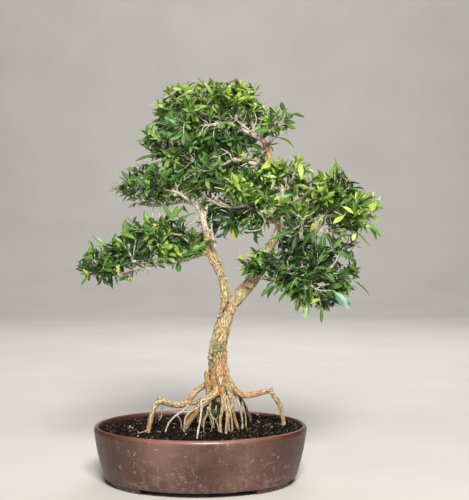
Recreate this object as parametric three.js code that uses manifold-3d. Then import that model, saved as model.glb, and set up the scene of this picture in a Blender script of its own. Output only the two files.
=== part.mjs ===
// A serissa bonsai in its oval pot: millimetres, +Z up, the front of the tree towards -Y.
// The pot's rim is 250 mm long and the whole tree stands about 470 mm tall. Everything is drawn
// round the middle of the pot's underside, and the finished group is centred under its own box.
import * as THREE from "three";
import { mergeVertices } from "three/addons/utils/BufferGeometryUtils.js";
import Module from "manifold-3d";

const wasm = await Module();
wasm.setup();

// Driving dimensions
const GAP = 0.35; // clearance between neighbouring pieces
const RIM = { halfLength: 125, halfDepth: 102.5, height: 66.6 };
const POT_SIDES = 36;
const WALL_BOTTOM = 5.8;
const FLOOR_TOP = 14;
const FOOT = { inset: 17, width: 12, height: 6.4, sideAngle: 0.34, frontAngle: 0.92 };
const DRAIN = { offset: 55, radius: 9, sides: 12, cutLength: 40 };
const SCREEN = { side: 30, thickness: 1.2, holes: 3, holeSide: 5.6, edgeShare: 0.4 };
const SOIL = {
  level: 57.6, mound: 3.2, wallHeights: [FLOOR_TOP + GAP, 42],
  ringShares: [0.6, 0.2], ripple: 0.9, rippleRound: 3, rippleOut: 9, rippleCross: 1.7,
};

// How far the pot's wall stands inside the rim's oval, and at what height, from under to inside
const POT_PROFILE = [
  [13, WALL_BOTTOM], [7.2, 25], [2.8, 45], [0.2, 62.5], [0.8, 65.8], [2.8, RIM.height],
  [5, 66.1], [6.4, 62.5], [9, 42], [13.5, 22], [20, FLOOR_TOP],
];

// Foliage: leaves stand in opposite pairs, each pair across the last. Size and opening differ from
// leaf to leaf by a sine whose phase moves on by changeStep.
const LEAF = {
  length: 22, width: 9, keel: 1.5, spread: 1.0, closed: 0.42, droop: 0.16,
  wideShare: 0.36, narrowShare: 0.72, narrowWidth: 0.72, lowSize: 0.86, topSize: 0.78,
  lowPart: 0.2, topPart: 0.9, turnChange: 0.12, sizeChange: 0.1, changeStep: 12.9,
};
const SHOOT = {
  rootRadius: 1.45, tipRadius: 0.95, pairs: 4, forkPairs: 3, pairStep: 5.2, leafyShare: 0.72,
  kneeShare: 0.4, forward: 0.22, bow: -0.08, rings: 5,
};
// Where a shoot may start on a limb or on another shoot's stem, and what a good start costs
const START = { places: 16, onLimb: [0.15, 1], onStem: [0.22, 0.45], lengthCost: 1.25, forwardGain: 0.5 };
// Shares of a stem that keep in one length and clear of the wood once both are cut apart
const STEM_KEPT = { inOneLength: 0.97, outsideWood: 0.8 };
// Turn outward and share of the full size that a leaf tries in order until one stands clear
const LEAF_TRIES = [[0, 1], [0.25, 0.92], [-0.22, 0.88], [0.1, 0.7]];
const GOLDEN_ANGLE = Math.PI * (3 - Math.sqrt(5));

// Colour and roughness of each material
const FINISHES = {
  pot: [0x6d5450, 0.42], soil: [0x1d1916, 0.95], screen: [0x2c2f2b, 0.6],
  wood: [0xb09d82, 0.85], leaves: [0x5f7d33, 0.45],
};

// Sides of each kind of wood, and the radius from which a root counts as thick
const WOOD_SIDES = { trunk: 11, rightTrunk: 8, leftTrunk: 7, limb: 4, thickRoot: 6, thinRoot: 4, stub: 6 };
const THICK_ROOT = 3;
const LIMB_RING_SHARE = 0.65;
const STUB_FLARE = { foot: 1.3, end: 0.8 };
const STEEP = 0.8; // a tangent that rises more than this takes its first turn from another axis

// Routes of the trunk, roots and limbs, chosen by hand: x, y, z and the radius there
const TRUNK = [
  [22, 0, 93, 7], [21, 0, 106, 12], [20, 0, 123, 11.2], [20, 0, 139, 10.6], [20, 0, 153, 10.2],
  [23, 0, 167, 9.6], [26, 0, 179, 9.2], [30, 0, 192, 8.6], [33, 0, 200, 6],
];
const RIGHT_TRUNK = [
  [26, 0, 185, 7.4], [34, 1, 200, 7.4], [41, 2, 210, 7.1], [48, 3, 219, 6.8], [56, 4, 229, 6.6],
  [63, 5, 241, 6.3], [71, 6, 252, 6], [78, 6, 265, 5.6], [84, 5, 278, 5.2], [90, 3, 290, 4.8],
  [92, 0, 299, 4.4], [88, -3, 308, 4.3], [92, -5, 318, 4.2], [96, -6, 327, 4.1],
  [97, -5, 336, 4], [93, -3, 345, 3.9], [89, -1, 354, 3.8], [85, 0, 365, 3.6],
  [82, 0, 375, 3.3], [79, 0, 385, 3.1], [77, 0, 392, 3], [73, 0, 398, 2.9], [67, 0, 403, 2.7],
];
const LEFT_TRUNK = [
  [26, -1, 191, 5], [28, -3, 201, 4.7], [29, -4, 212, 4.4], [28, -5, 223, 4.4],
  [25, -6, 237, 4.6], [20, -8, 251, 5], [13, -10, 267, 4.5], [9, -11, 282, 3.7],
  [6, -11, 296, 3.3], [3, -10, 307, 3.1], [-1, -9, 316, 2.8], [-7, -8, 323, 2.4],
  [-15, -7, 326, 2.1], [-25, -6, 326, 1.9],
];

const LIMBS = {
  apexLeft: [[73, 0, 399, 2.7], [58, -1, 406, 2.2], [46, -2, 412, 2], [36, -3, 419, 1.8],
    [25, -5, 423, 1.6], [11, -6, 427, 1.4], [-3, -6, 429, 1.2], [-16, -4, 430, 1]],
  apexUp: [[63, 0, 404, 2], [61, 3, 417, 1.8], [57, 7, 429, 1.5], [51, 11, 440, 1.1]],
  apexRight: [[70, 0, 401, 1.8], [74, -3, 408, 1.5], [81, -5, 413, 1.2], [88, -5, 417, 1]],
  apexBack: [[46, -2, 412, 1.7], [37, 12, 421, 1.5], [25, 22, 426, 1.3], [8, 27, 424, 1]],
  apexFront: [[37, -3, 418, 1.6], [25, -14, 417, 1.4], [12, -21, 414, 1.2], [-1, -25, 412, 1]],
  upperMid: [[82, 0, 374, 2.8], [72, -4, 371, 2.5], [60, -7, 371, 2.4], [50, -7, 374, 2.2],
    [39, -6, 375, 1.9], [28, -6, 370, 1.7], [16, -6, 367, 1.5], [6, -7, 365, 1.3],
    [-7, -10, 372, 1.2], [-21, -11, 379, 1.1], [-33, -9, 384, 1]],
  upperBack: [[80, 0, 380, 2.2], [70, 11, 386, 1.9], [53, 21, 388, 1.6], [34, 28, 388, 1.4],
    [15, 31, 387, 1.1]],
  leftLeader: [[4, -11, 303, 2.6], [7, -3, 319, 2.4], [11, 4, 333, 2.2], [13, 9, 348, 2],
    [8, 13, 362, 1.7], [-1, 17, 374, 1.4], [-13, 21, 382, 1.1]],
  leftFront: [[-10, -8, 324, 2], [-18, -16, 331, 1.6], [-28, -22, 337, 1.3], [-39, -26, 339, 1]],
  leftBack: [[-17, -7, 326, 1.8], [-24, 4, 332, 1.6], [-34, 15, 337, 1.3], [-46, 24, 341, 1]],
  lowLeft: [[15, -9, 262, 3], [6, -12, 263, 2.7], [-6, -16, 261, 2.5], [-18, -19, 257, 2.3],
    [-32, -20, 254, 2.1], [-46, -20, 255, 2], [-59, -18, 252, 1.8], [-72, -15, 246, 1.6],
    [-83, -12, 243, 1.4], [-98, -8, 242, 1.2], [-111, -5, 242, 1]],
  lowLeftBack: [[-31, -20, 254, 1.7], [-41, -6, 261, 1.5], [-51, 7, 266, 1.3], [-64, 15, 269, 1]],
  lowLeftFront: [[-58, -18, 252, 1.5], [-67, -25, 255, 1.3], [-77, -29, 258, 1]],
  lowLeftTop: [[-6, -16, 261, 1.7], [-9, -14, 269, 1.5], [-12, -10, 277, 1.3], [-15, -6, 286, 1]],
  centreLow: [[89, -2, 305, 2.8], [79, -8, 303, 2.5], [73, -12, 311, 2.3], [63, -15, 317, 2],
    [52, -17, 320, 1.8], [37, -17, 321, 1.6], [22, -15, 324, 1.3], [9, -12, 329, 1]],
  centreFront: [[52, -17, 320, 1.7], [44, -26, 327, 1.5], [36, -31, 336, 1.3], [30, -33, 346, 1]],
  leftTip: [[-23, -6, 326, 1.9], [-33, -5, 324, 1.7], [-47, -5, 322, 1.5], [-61, -4, 322, 1.2],
    [-73, -4, 324, 1]],
  centreBack: [[95, -4, 340, 2.4], [84, 10, 338, 2.1], [70, 21, 335, 1.8], [55, 29, 334, 1.5],
    [39, 34, 335, 1.1]],
  rightUpper: [[91, 1, 295, 3], [102, -6, 292, 2.8], [113, -12, 293, 2.5], [125, -16, 294, 2.3],
    [136, -18, 294, 2.1], [144, -18, 291, 1.9], [153, -16, 294, 1.8], [164, -14, 295, 1.6],
    [175, -12, 294, 1.4], [185, -9, 297, 1.2], [194, -7, 299, 1]],
  rightTop: [[97, -5, 329, 2.4], [107, 4, 334, 2.1], [120, 14, 336, 1.8], [133, 22, 333, 1.5],
    [148, 28, 330, 1.1]],
  rightFront: [[114, -12, 293, 1.8], [117, -23, 301, 1.5], [121, -31, 309, 1.1]],
  rightUp: [[136, -18, 294, 1.8], [141, -22, 306, 1.5], [147, -24, 318, 1.1]],
  rightLower: [[71, 2, 252, 3], [81, -13, 255, 2.7], [91, -23, 253, 2.4], [101, -30, 248, 2.1],
    [112, -34, 241, 1.8], [123, -34, 233, 1.5], [134, -30, 225, 1.1]],
  rightLowerBack: [[77, 7, 262, 2.7], [92, 19, 265, 2.3], [109, 27, 265, 1.9],
    [127, 31, 261, 1.5], [144, 30, 255, 1.1]],
  rightLowerSide: [[112, -34, 241, 1.6], [128, -26, 241, 1.4], [148, -16, 239, 1.1]],
  forkTwig: [[61, 2, 239, 2.4], [58, -9, 243, 1.9], [52, -15, 247, 1.5], [44, -19, 250, 1.1]],
  neckTwig: [[96, -6, 332, 2.2], [101, -9, 340, 1.7], [106, -11, 349, 1.4], [108, -12, 357, 1]],
};

const ROOTS = {
  leftArch: [[12, 6, 117, 4], [5, 7, 110, 3.6], [-3, 5, 106, 3.3], [-8, 2, 101, 3.2],
    [-12, -2, 96, 3.2], [-17, -5, 91, 3.6], [-26, -9, 90, 3.8], [-35, -13, 92, 3.9],
    [-43, -16, 95, 4.1], [-48, -18, 95, 3.9], [-52, -19, 90, 3.4], [-55, -20, 82, 3.1],
    [-57, -21, 74, 2.9], [-59, -21, 65, 2.7], [-60, -22, 56, 2.4], [-60, -22, 48, 2.2]],
  frontLeft: [[21, -6, 114, 5], [18, -11, 104, 4.6], [12, -14, 99, 4.3], [5, -15, 93, 4.2],
    [-1, -14, 88, 4.2], [-6, -13, 81, 4.1], [-11, -11, 74, 4], [-16, -9, 66, 3.8],
    [-18, -8, 60, 3.2], [-19, -8, 49, 2.6]],
  rightArch: [[27, -3, 137, 4], [30, -5, 126, 4.4], [35, -5, 114, 4.4], [42, -4, 104, 4.2],
    [51, -2, 100, 3.8], [59, 0, 100, 3.6], [67, 2, 101, 3.4], [76, 4, 103, 3.2],
    [82, 5, 103, 3.2], [87, 6, 97, 3], [92, 7, 89, 2.9], [95, 7, 80, 2.8], [97, 8, 71, 2.8],
    [98, 8, 60, 2.7], [98, 8, 48, 2.4]],
  frontRidge: [[20, -5, 147, 5], [21, -7, 133, 5], [23, -8, 119, 4.8], [25, -10, 107, 3.6],
    [26, -14, 94, 2.2], [25, -17, 83, 1.9], [23, -19, 72, 1.7], [24, -20, 60, 1.5],
    [25, -20, 49, 1.2]],
  leftButtress: [[7, -2, 126, 3.2], [9, -3, 115, 4.6], [10, -4, 103, 4.2], [8, -1, 91, 3],
    [5, 4, 80, 2.2], [3, 8, 68, 1.9], [1, 10, 55, 1.6], [1, 10, 45, 1.3]],
  frontMiddle: [[26, -8, 105, 3], [29, -14, 94, 2.2], [31, -19, 84, 2], [31, -23, 73, 1.9],
    [30, -25, 61, 1.7], [30, -25, 50, 1.4]],
  frontRight: [[30, -6, 122, 4.4], [33, -7, 109, 4], [36, -8, 97, 2.8], [38, -7, 86, 2.2],
    [40, -5, 74, 1.9], [43, -3, 64, 1.7], [45, -3, 51, 1.4]],
  rightFine: [[40, -3, 106, 2.6], [44, -3, 93, 1.8], [47, -2, 81, 1.5], [49, -1, 70, 1.2],
    [49, 0, 59, 1.1], [49, 0, 48, 1]],
  rightBack: [[39, 4, 108, 3.4], [45, 14, 97, 2.9], [50, 26, 86, 2.5], [55, 38, 74, 2.2],
    [59, 45, 64, 1.9], [61, 48, 50, 1.5]],
  straight: [[6, -17, 97, 1.5], [2, -22, 97, 1.3], [2, -30, 89, 1.2], [1, -39, 78, 1.15],
    [-1, -46, 68, 1.1], [-2, -50, 60, 1.1], [-3, -52, 50, 1]],
  leftFine: [[-13, -6, 91, 1.5], [-19, -9, 84, 1.2], [-27, -12, 79, 1.1], [-33, -15, 74, 1],
    [-38, -18, 66, 1], [-40, -20, 59, 0.9], [-40, -21, 50, 0.8]],
  backLeft: [[13, 6, 108, 4], [7, 20, 94, 3.2], [1, 34, 79, 2.6], [-3, 44, 68, 2.2],
    [-5, 48, 55, 1.7]],
  backMiddle: [[22, 8, 107, 4], [22, 24, 93, 3.2], [23, 40, 80, 2.6], [25, 52, 69, 2.1],
    [24, 56, 56, 1.6]],
  upperLeftFeed: [[16, -8, 106, 3.4], [8, -12, 100, 3], [1, -12, 96, 2.8], [-7, -9, 92, 2.7],
    [-14, -6, 91, 2.6]],
};

// Short stubs where old limbs and roots were cut: foot, direction outward, radius and length
const STUBS = [
  [[13, -3, 125], [-1, -0.1, 0.35], 2.6, 8], [[14, -5, 144], [-0.9, -0.4, 0.2], 2.6, 8],
  [[24, -4, 191], [-1, -0.3, 0.3], 2.2, 6], [[12, -10, 268], [-1, 0, 0.6], 1.7, 9],
  [[27, -5, 232], [1, -0.3, 0.2], 1.7, 6], [[82, 5, 103], [0.4, -0.2, 1], 2.2, 6],
  [[45, 3, 216], [0.6, -0.6, 0.4], 3, 5], [[-46, -17, 97], [-0.3, -0.2, 1], 2.6, 5],
];

// Leafy pads: middle, half sizes, number of shoots, lowest direction filled, and limbs inside
const PADS = {
  crown: { middle: [14, 2, 436], half: [60, 58, 34], shoots: 9, lowest: -0.25,
    limbs: ["apexLeft", "apexUp", "apexBack", "apexFront"] },
  crown_right: { middle: [84, -4, 413], half: [33, 34, 24], shoots: 3, lowest: -0.5,
    limbs: ["apexRight", "apexUp"] },
  shoulder: { middle: [-25, -4, 403], half: [47, 50, 35], shoots: 6, lowest: -0.75,
    limbs: ["apexLeft", "apexFront", "leftLeader", "upperMid"] },
  middle_back: { middle: [26, 14, 398], half: [44, 38, 28], shoots: 4, lowest: -0.6,
    limbs: ["upperBack", "upperMid", "apexBack"] },
  upper_left: { middle: [-52, -2, 347], half: [50, 46, 31], shoots: 5, lowest: -0.8,
    limbs: ["leftTip", "leftFront", "leftBack", "leftLeader"] },
  upper_middle: { middle: [4, -4, 360], half: [44, 46, 30], shoots: 4, lowest: -0.4,
    limbs: ["upperMid", "leftLeader", "centreFront"] },
  centre: { middle: [38, -4, 338], half: [48, 50, 38], shoots: 4, lowest: -0.5,
    limbs: ["centreLow", "centreBack", "centreFront"] },
  centre_right: { middle: [76, -12, 336], half: [32, 34, 46], shoots: 3, lowest: -0.6,
    limbs: ["centreLow", "upperMid", "centreBack"] },
  centre_low: { middle: [32, -12, 307], half: [38, 34, 25], shoots: 3, lowest: -0.95,
    limbs: ["centreLow"] },
  upper_right: { middle: [136, 0, 325], half: [58, 58, 41], shoots: 8, lowest: -0.75,
    limbs: ["rightUpper", "rightTop", "rightFront", "rightUp"] },
  right_tip: { middle: [180, -2, 314], half: [34, 40, 27], shoots: 3, lowest: -0.6,
    limbs: ["rightUpper", "rightTop"] },
  neck: { middle: [104, -8, 354], half: [26, 28, 26], shoots: 2, lowest: 0.2,
    limbs: ["neckTwig", "rightTop"] },
  lower_right: { middle: [129, -2, 240], half: [55, 52, 48], shoots: 9, lowest: -0.95,
    limbs: ["rightLower", "rightLowerBack", "rightLowerSide"] },
  fork: { middle: [52, -18, 252], half: [24, 18, 16], shoots: 1, lowest: -0.1,
    limbs: ["forkTwig"] },
  lower_left: { middle: [-52, -6, 278], half: [55, 46, 34], shoots: 5, lowest: -0.4,
    limbs: ["lowLeft", "lowLeftBack", "lowLeftFront", "lowLeftTop"] },
  left_tip: { middle: [-110, -4, 253], half: [36, 38, 27], shoots: 3, lowest: -0.5,
    limbs: ["lowLeft", "lowLeftBack"] },
  left_inner: { middle: [-8, -8, 274], half: [30, 32, 22], shoots: 2, lowest: -0.1,
    limbs: ["lowLeftTop", "lowLeft"] },
};
const LEAF_REACH = 14; // shoots end this far inside a pad's form, and their leaves fill it

const vector = (point) => new THREE.Vector3(point[0], point[1], point[2]);

// A closed solid skinned over rings that all have the same number of points
function loft(rings) {
  const sides = rings[0].length;
  const points = rings.flat();
  const index = [];
  for (let ring = 0; ring < rings.length - 1; ring++) {
    for (let side = 0; side < sides; side++) {
      const a = ring * sides + side;
      const b = ring * sides + ((side + 1) % sides);
      index.push(a, b, b + sides, a, b + sides, a + sides);
    }
  }
  const lastRing = (rings.length - 1) * sides;
  for (let side = 1; side < sides - 1; side++) {
    index.push(0, side + 1, side);
    index.push(lastRing, lastRing + side, lastRing + side + 1);
  }
  return new THREE.BufferGeometry().setFromPoints(points).setIndex(index);
}

// A closed geometry as a solid that can be joined and cut
function solid(geometry) {
  const bare = geometry.index ? geometry.clone() : geometry;
  bare.deleteAttribute("normal");
  bare.deleteAttribute("uv");
  const merged = mergeVertices(bare, 1e-4);
  return new wasm.Manifold(new wasm.Mesh({
    numProp: 3,
    vertProperties: new Float32Array(merged.attributes.position.array),
    triVerts: new Uint32Array(merged.index.array),
  }));
}

const join = (solids) => solids.reduce((whole, next) => whole.add(next));

// The largest body of a solid, without the scraps that a cut leaves
function largestBody(whole) {
  const bodies = whole.decompose();
  return bodies.reduce((best, next) => (next.volume() > best.volume() ? next : best));
}

// The named mesh of a solid, in its own material
function piece(name, whole, [colour, roughness]) {
  const mesh = whole.getMesh();
  const geometry = new THREE.BufferGeometry();
  geometry.setAttribute("position", new THREE.BufferAttribute(mesh.vertProperties, 3));
  geometry.setIndex(new THREE.BufferAttribute(mesh.triVerts, 1));
  geometry.computeVertexNormals();
  const material = new THREE.MeshStandardMaterial({ color: colour, roughness });
  const named = new THREE.Mesh(geometry, material);
  named.name = name;
  return named;
}

// An oval ring of points, this far inside the pot's rim
function ovalRing(inset, height) {
  return Array.from({ length: POT_SIDES }, (_, side) => {
    const angle = (2 * Math.PI * side) / POT_SIDES;
    const x = (RIM.halfLength - inset) * Math.cos(angle);
    const y = (RIM.halfDepth - inset) * Math.sin(angle);
    return new THREE.Vector3(x, y, height);
  });
}

// One low foot: a stretch of the oval ring under the wall
function foot(startAngle, endAngle) {
  const outer = [RIM.halfLength - FOOT.inset, RIM.halfDepth - FOOT.inset];
  const inner = outer.map((half) => half - FOOT.width);
  const shape = new THREE.Shape();
  shape.absellipse(0, 0, outer[0], outer[1], startAngle, endAngle, false);
  shape.absellipse(0, 0, inner[0], inner[1], endAngle, startAngle, true);
  const geometry = new THREE.ExtrudeGeometry(shape, {
    depth: FOOT.height, curveSegments: 4, bevelEnabled: false,
  });
  return solid(geometry);
}

function drainHole(x) {
  const { radius, sides, cutLength } = DRAIN;
  const cutter = new THREE.CylinderGeometry(radius, radius, cutLength, sides);
  cutter.rotateX(Math.PI / 2).translate(x, 0, WALL_BOTTOM);
  return solid(cutter);
}

function makePot() {
  const shell = solid(loft(POT_PROFILE.map(([inset, height]) => ovalRing(inset, height))));
  const { sideAngle, frontAngle } = FOOT;
  const feet = [0, Math.PI].flatMap((turn) => [
    foot(turn + sideAngle, turn + frontAngle),
    foot(turn + Math.PI - frontAngle, turn + Math.PI - sideAngle),
  ]);
  const holes = join([drainHole(-DRAIN.offset), drainHole(DRAIN.offset)]);
  return join([shell, ...feet]).subtract(holes);
}

// A square of drainage mesh that keeps the soil in over one drain hole
function makeScreen(x) {
  const { side, thickness, holes, holeSide, edgeShare } = SCREEN;
  const middle = FLOOR_TOP + GAP + thickness / 2;
  let sheet = solid(new THREE.BoxGeometry(side, side, thickness).translate(x, 0, middle));
  const pitch = side / (holes + edgeShare);
  for (let column = 0; column < holes; column++) {
    for (let row = 0; row < holes; row++) {
      const dx = (column - (holes - 1) / 2) * pitch;
      const dy = (row - (holes - 1) / 2) * pitch;
      const hole = new THREE.BoxGeometry(holeSide, holeSide, 3 * thickness);
      sheet = sheet.subtract(solid(hole.translate(x + dx, dy, middle)));
    }
  }
  return sheet;
}

// The soil fills the pot to just under the lip and rises a little towards the roots
function makeSoil(rootHoles, screens) {
  const wallInset = (height) => {
    const inside = POT_PROFILE.slice(-5);
    for (let step = 1; step < inside.length; step++) {
      const [[insetAbove, above], [insetBelow, below]] = [inside[step - 1], inside[step]];
      if (height >= below) {
        const part = (height - below) / (above - below);
        return THREE.MathUtils.lerp(insetBelow, insetAbove, part) + GAP;
      }
    }
    return inside.at(-1)[0] + GAP;
  };
  const wall = [...SOIL.wallHeights, SOIL.level].map((height) =>
    ovalRing(wallInset(height), height));
  const surface = SOIL.ringShares.map((share) =>
    ovalRing(0, 0).map((point, side) => {
      const round = Math.sin(SOIL.rippleRound * side + SOIL.rippleOut * share);
      const ripple = SOIL.ripple * round * Math.cos(SOIL.rippleCross * side);
      const height = SOIL.level + SOIL.mound * (1 - share) + ripple;
      return new THREE.Vector3(point.x * share, point.y * share, height);
    }));
  const ground = solid(loft([...wall, ...surface]));
  const pocket = 2 * GAP + SCREEN.thickness;
  const pockets = screens.map((x) => {
    const side = SCREEN.side + 2 * GAP;
    const box = new THREE.BoxGeometry(side, side, 2 * pocket);
    return solid(box.translate(x, 0, FLOOR_TOP));
  });
  return largestBody(ground.subtract(join([...pockets, rootHoles])));
}

// A smooth route through points that each carry a radius
class Route {
  constructor(points) {
    this.curve = new THREE.CatmullRomCurve3(points.map(vector), false, "centripetal");
    this.radii = points.map((point) => point[3]);
  }

  at(share) {
    return this.curve.getPoint(share);
  }

  along(share) {
    return this.curve.getTangent(share);
  }

  radius(share) {
    const place = share * (this.radii.length - 1);
    const before = Math.min(Math.floor(place), this.radii.length - 2);
    return THREE.MathUtils.lerp(this.radii[before], this.radii[before + 1], place - before);
  }

  // Rings of a section with this many sides at each share of the route, turned without twist
  rings(shares, sides, extra = 0) {
    let tangent = this.along(shares[0]);
    const steep = Math.abs(tangent.z) > STEEP;
    const helper = steep ? new THREE.Vector3(1, 0, 0) : new THREE.Vector3(0, 0, 1);
    const across = new THREE.Vector3().crossVectors(tangent, helper).normalize();
    return shares.map((share, step) => {
      const next = this.along(share);
      across.applyQuaternion(new THREE.Quaternion().setFromUnitVectors(tangent, next));
      tangent = next;
      const other = new THREE.Vector3().crossVectors(tangent, across);
      const end = step === 0 ? -extra : step === shares.length - 1 ? extra : 0;
      const middle = this.at(share).addScaledVector(tangent, end);
      const radius = this.radius(share) + extra;
      return Array.from({ length: sides }, (_, side) => {
        const angle = (2 * Math.PI * (side + 0.5)) / sides;
        return middle.clone()
          .addScaledVector(across, radius * Math.cos(angle))
          .addScaledVector(other, radius * Math.sin(angle));
      });
    });
  }
}

const evenShares = (steps) => Array.from({ length: steps + 1 }, (_, step) => step / steps);

// A round tapering length of wood, with about one ring for each point of its route
function wood(points, sides, extra = 0, ringShare = 1) {
  const steps = Math.max(1, Math.round(ringShare * (points.length - 1)));
  return solid(loft(new Route(points).rings(evenShares(steps), sides, extra)));
}

function stub([start, direction, radius, length], extra = 0) {
  const end = vector(start).addScaledVector(vector(direction).normalize(), length);
  const foot = [...start, radius * STUB_FLARE.foot];
  return wood([foot, [end.x, end.y, end.z, radius * STUB_FLARE.end]], WOOD_SIDES.stub, extra);
}

// Trunks, limbs and roots grown as one piece, or the same a little fatter as a cutter
function makeWood(extra = 0) {
  const trunks = [
    wood(TRUNK, WOOD_SIDES.trunk, extra),
    wood(RIGHT_TRUNK, WOOD_SIDES.rightTrunk, extra),
    wood(LEFT_TRUNK, WOOD_SIDES.leftTrunk, extra),
  ];
  const limbs = Object.values(LIMBS).map((points) =>
    wood(points, WOOD_SIDES.limb, extra, LIMB_RING_SHARE));
  const roots = Object.values(ROOTS).map((points) => {
    const thick = points[0][3] > THICK_ROOT;
    return wood(points, thick ? WOOD_SIDES.thickRoot : WOOD_SIDES.thinRoot, extra);
  });
  return join([...trunks, ...limbs, ...roots, ...STUBS.map((entry) => stub(entry, extra))]);
}

// Ends of a pad's shoots: points spread evenly over its oval form by the golden angle
function shootEnds(pad) {
  const middle = vector(pad.middle);
  return Array.from({ length: pad.shoots }, (_, step) => {
    const rise = 1 - ((1 - pad.lowest) * (step + 0.5)) / pad.shoots;
    const level = Math.sqrt(1 - rise * rise);
    const turn = step * GOLDEN_ANGLE;
    const direction = new THREE.Vector3(level * Math.cos(turn), level * Math.sin(turn), rise);
    const inside = vector(pad.half).subScalar(LEAF_REACH);
    const offset = direction.clone().multiply(inside);
    return { end: middle.clone().add(offset), outward: direction };
  });
}

// Places on the routes from which a shoot could reach its end, the most natural first
function startPlaces(routes, end, [firstShare, lastShare]) {
  const places = routes.flatMap((route) => evenShares(START.places).map((step) => {
    const share = THREE.MathUtils.lerp(firstShare, lastShare, step);
    const start = route.at(share);
    const reach = end.clone().sub(start);
    const forward = reach.dot(route.along(share));
    const cost = START.lengthCost * reach.length() - START.forwardGain * forward;
    return { cost, route, share, start };
  }));
  return places.sort((one, other) => one.cost - other.cost);
}

// A shoot's route: it leaves its limb forward, bows and ends pointing out of the pad
function shootRoute(from, end, outward) {
  const distance = from.start.distanceTo(end);
  const forward = from.route.along(from.share).multiplyScalar(SHOOT.forward * distance);
  const knee = from.start.clone().lerp(end, SHOOT.kneeShare).add(forward)
    .addScaledVector(outward, SHOOT.bow * distance);
  const bend = new THREE.QuadraticBezierCurve3(from.start, knee, end);
  const points = evenShares(SHOOT.rings).map((share) => {
    const point = bend.getPoint(share);
    const radius = THREE.MathUtils.lerp(SHOOT.rootRadius, SHOOT.tipRadius, share);
    return [point.x, point.y, point.z, radius];
  });
  return new Route(points);
}

// Plan of a shoot: a square stem with a ring at every leaf pair, nearer its tip
function planShoot(route, pairs) {
  const length = route.curve.getLength();
  const leafy = Math.min(pairs * SHOOT.pairStep, SHOOT.leafyShare * length);
  const firstPair = 1 - leafy / length;
  const shares = [0, firstPair / 2];
  for (let pair = 0; pair <= pairs; pair++) {
    shares.push(THREE.MathUtils.lerp(firstPair, 1, pair / pairs));
  }
  const rings = route.rings(shares, 4);
  return { route, rings, stem: solid(loft(rings)), pairs, shares, leaves: new Map() };
}

// Points of one keeled blade that opens from three corners of its stem: keel, right and left
function bladePoints(base, direction, upward, size) {
  const right = new THREE.Vector3().crossVectors(upward, direction).normalize();
  const root = base[0].clone().add(base[1]).add(base[2]).divideScalar(3);
  const station = (share, width, keel) => {
    const middle = root.clone().addScaledVector(direction, share * LEAF.length * size)
      .addScaledVector(upward, -LEAF.droop * LEAF.length * size * share * share);
    const half = (LEAF.width * size * width) / 2;
    return {
      keel: middle.clone().addScaledVector(upward, -keel * size),
      right: middle.clone().addScaledVector(right, half),
      left: middle.clone().addScaledVector(right, -half),
      middle,
    };
  };
  const wide = station(LEAF.wideShare, 1, LEAF.keel);
  const narrow = station(LEAF.narrowShare, LEAF.narrowWidth, 0);
  const tip = station(1, 0, 0).middle;
  return [...base, wide.keel, wide.right, wide.left, narrow.right, narrow.left, tip];
}

// Faces of a blade over the nine points above, without its root
const BLADE_FACES = [
  [0, 1, 4], [0, 4, 3], [1, 2, 5], [1, 5, 4], [2, 0, 3], [2, 3, 5],
  [4, 5, 7], [4, 7, 6], [3, 4, 6], [3, 6, 8], [5, 3, 7], [7, 3, 8], [6, 7, 8],
];
const BLADE_ROOT = [2, 1, 0];

function bladeSolid(points) {
  const geometry = new THREE.BufferGeometry().setFromPoints(points);
  return solid(geometry.setIndex([...BLADE_FACES, BLADE_ROOT].flat()));
}

// Everything already grown, with its box, so that a new leaf can keep clear of it
class Grown {
  constructor() {
    this.items = [];
  }

  add(shape, owner) {
    const { min, max } = shape.boundingBox();
    this.items.push({ shape, owner, box: new THREE.Box3(vector(min), vector(max)) });
  }

  clashes(shape, spared = []) {
    const { min, max } = shape.boundingBox();
    const box = new THREE.Box3(vector(min), vector(max));
    return this.items.some((item) => !spared.includes(item.owner) &&
      item.box.intersectsBox(box) && !item.shape.intersect(shape).isEmpty());
  }
}

// The two faces of a stem's stretch that carry a pair, and the end cap's two halves
function sockets(plan) {
  const found = [];
  for (let pair = 0; pair < plan.pairs; pair++) {
    const low = plan.rings[pair + 2];
    const high = plan.rings[pair + 3];
    const along = high[0].clone().sub(low[0]).normalize();
    for (const side of [pair % 2, (pair % 2) + 2]) {
      const next = (side + 1) % 4;
      const base = [low[next], high[next], high[side]];
      const tangential = high[next].clone().sub(high[side]).normalize();
      const normal = new THREE.Vector3().crossVectors(tangential, along).normalize();
      found.push({ key: `${pair}:${side}`, base, along, normal, pair });
    }
  }
  const cap = plan.rings.at(-1);
  const along = plan.route.along(1);
  for (const side of [1, 3]) {
    const base = [cap[side], cap[(side + 1) % 4], cap[(side + 3) % 4]];
    const normal = cap[side].clone().sub(cap[(side + 2) % 4]).normalize();
    found.push({ key: `cap:${side}`, base, along, normal, pair: plan.pairs });
  }
  return found;
}

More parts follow.
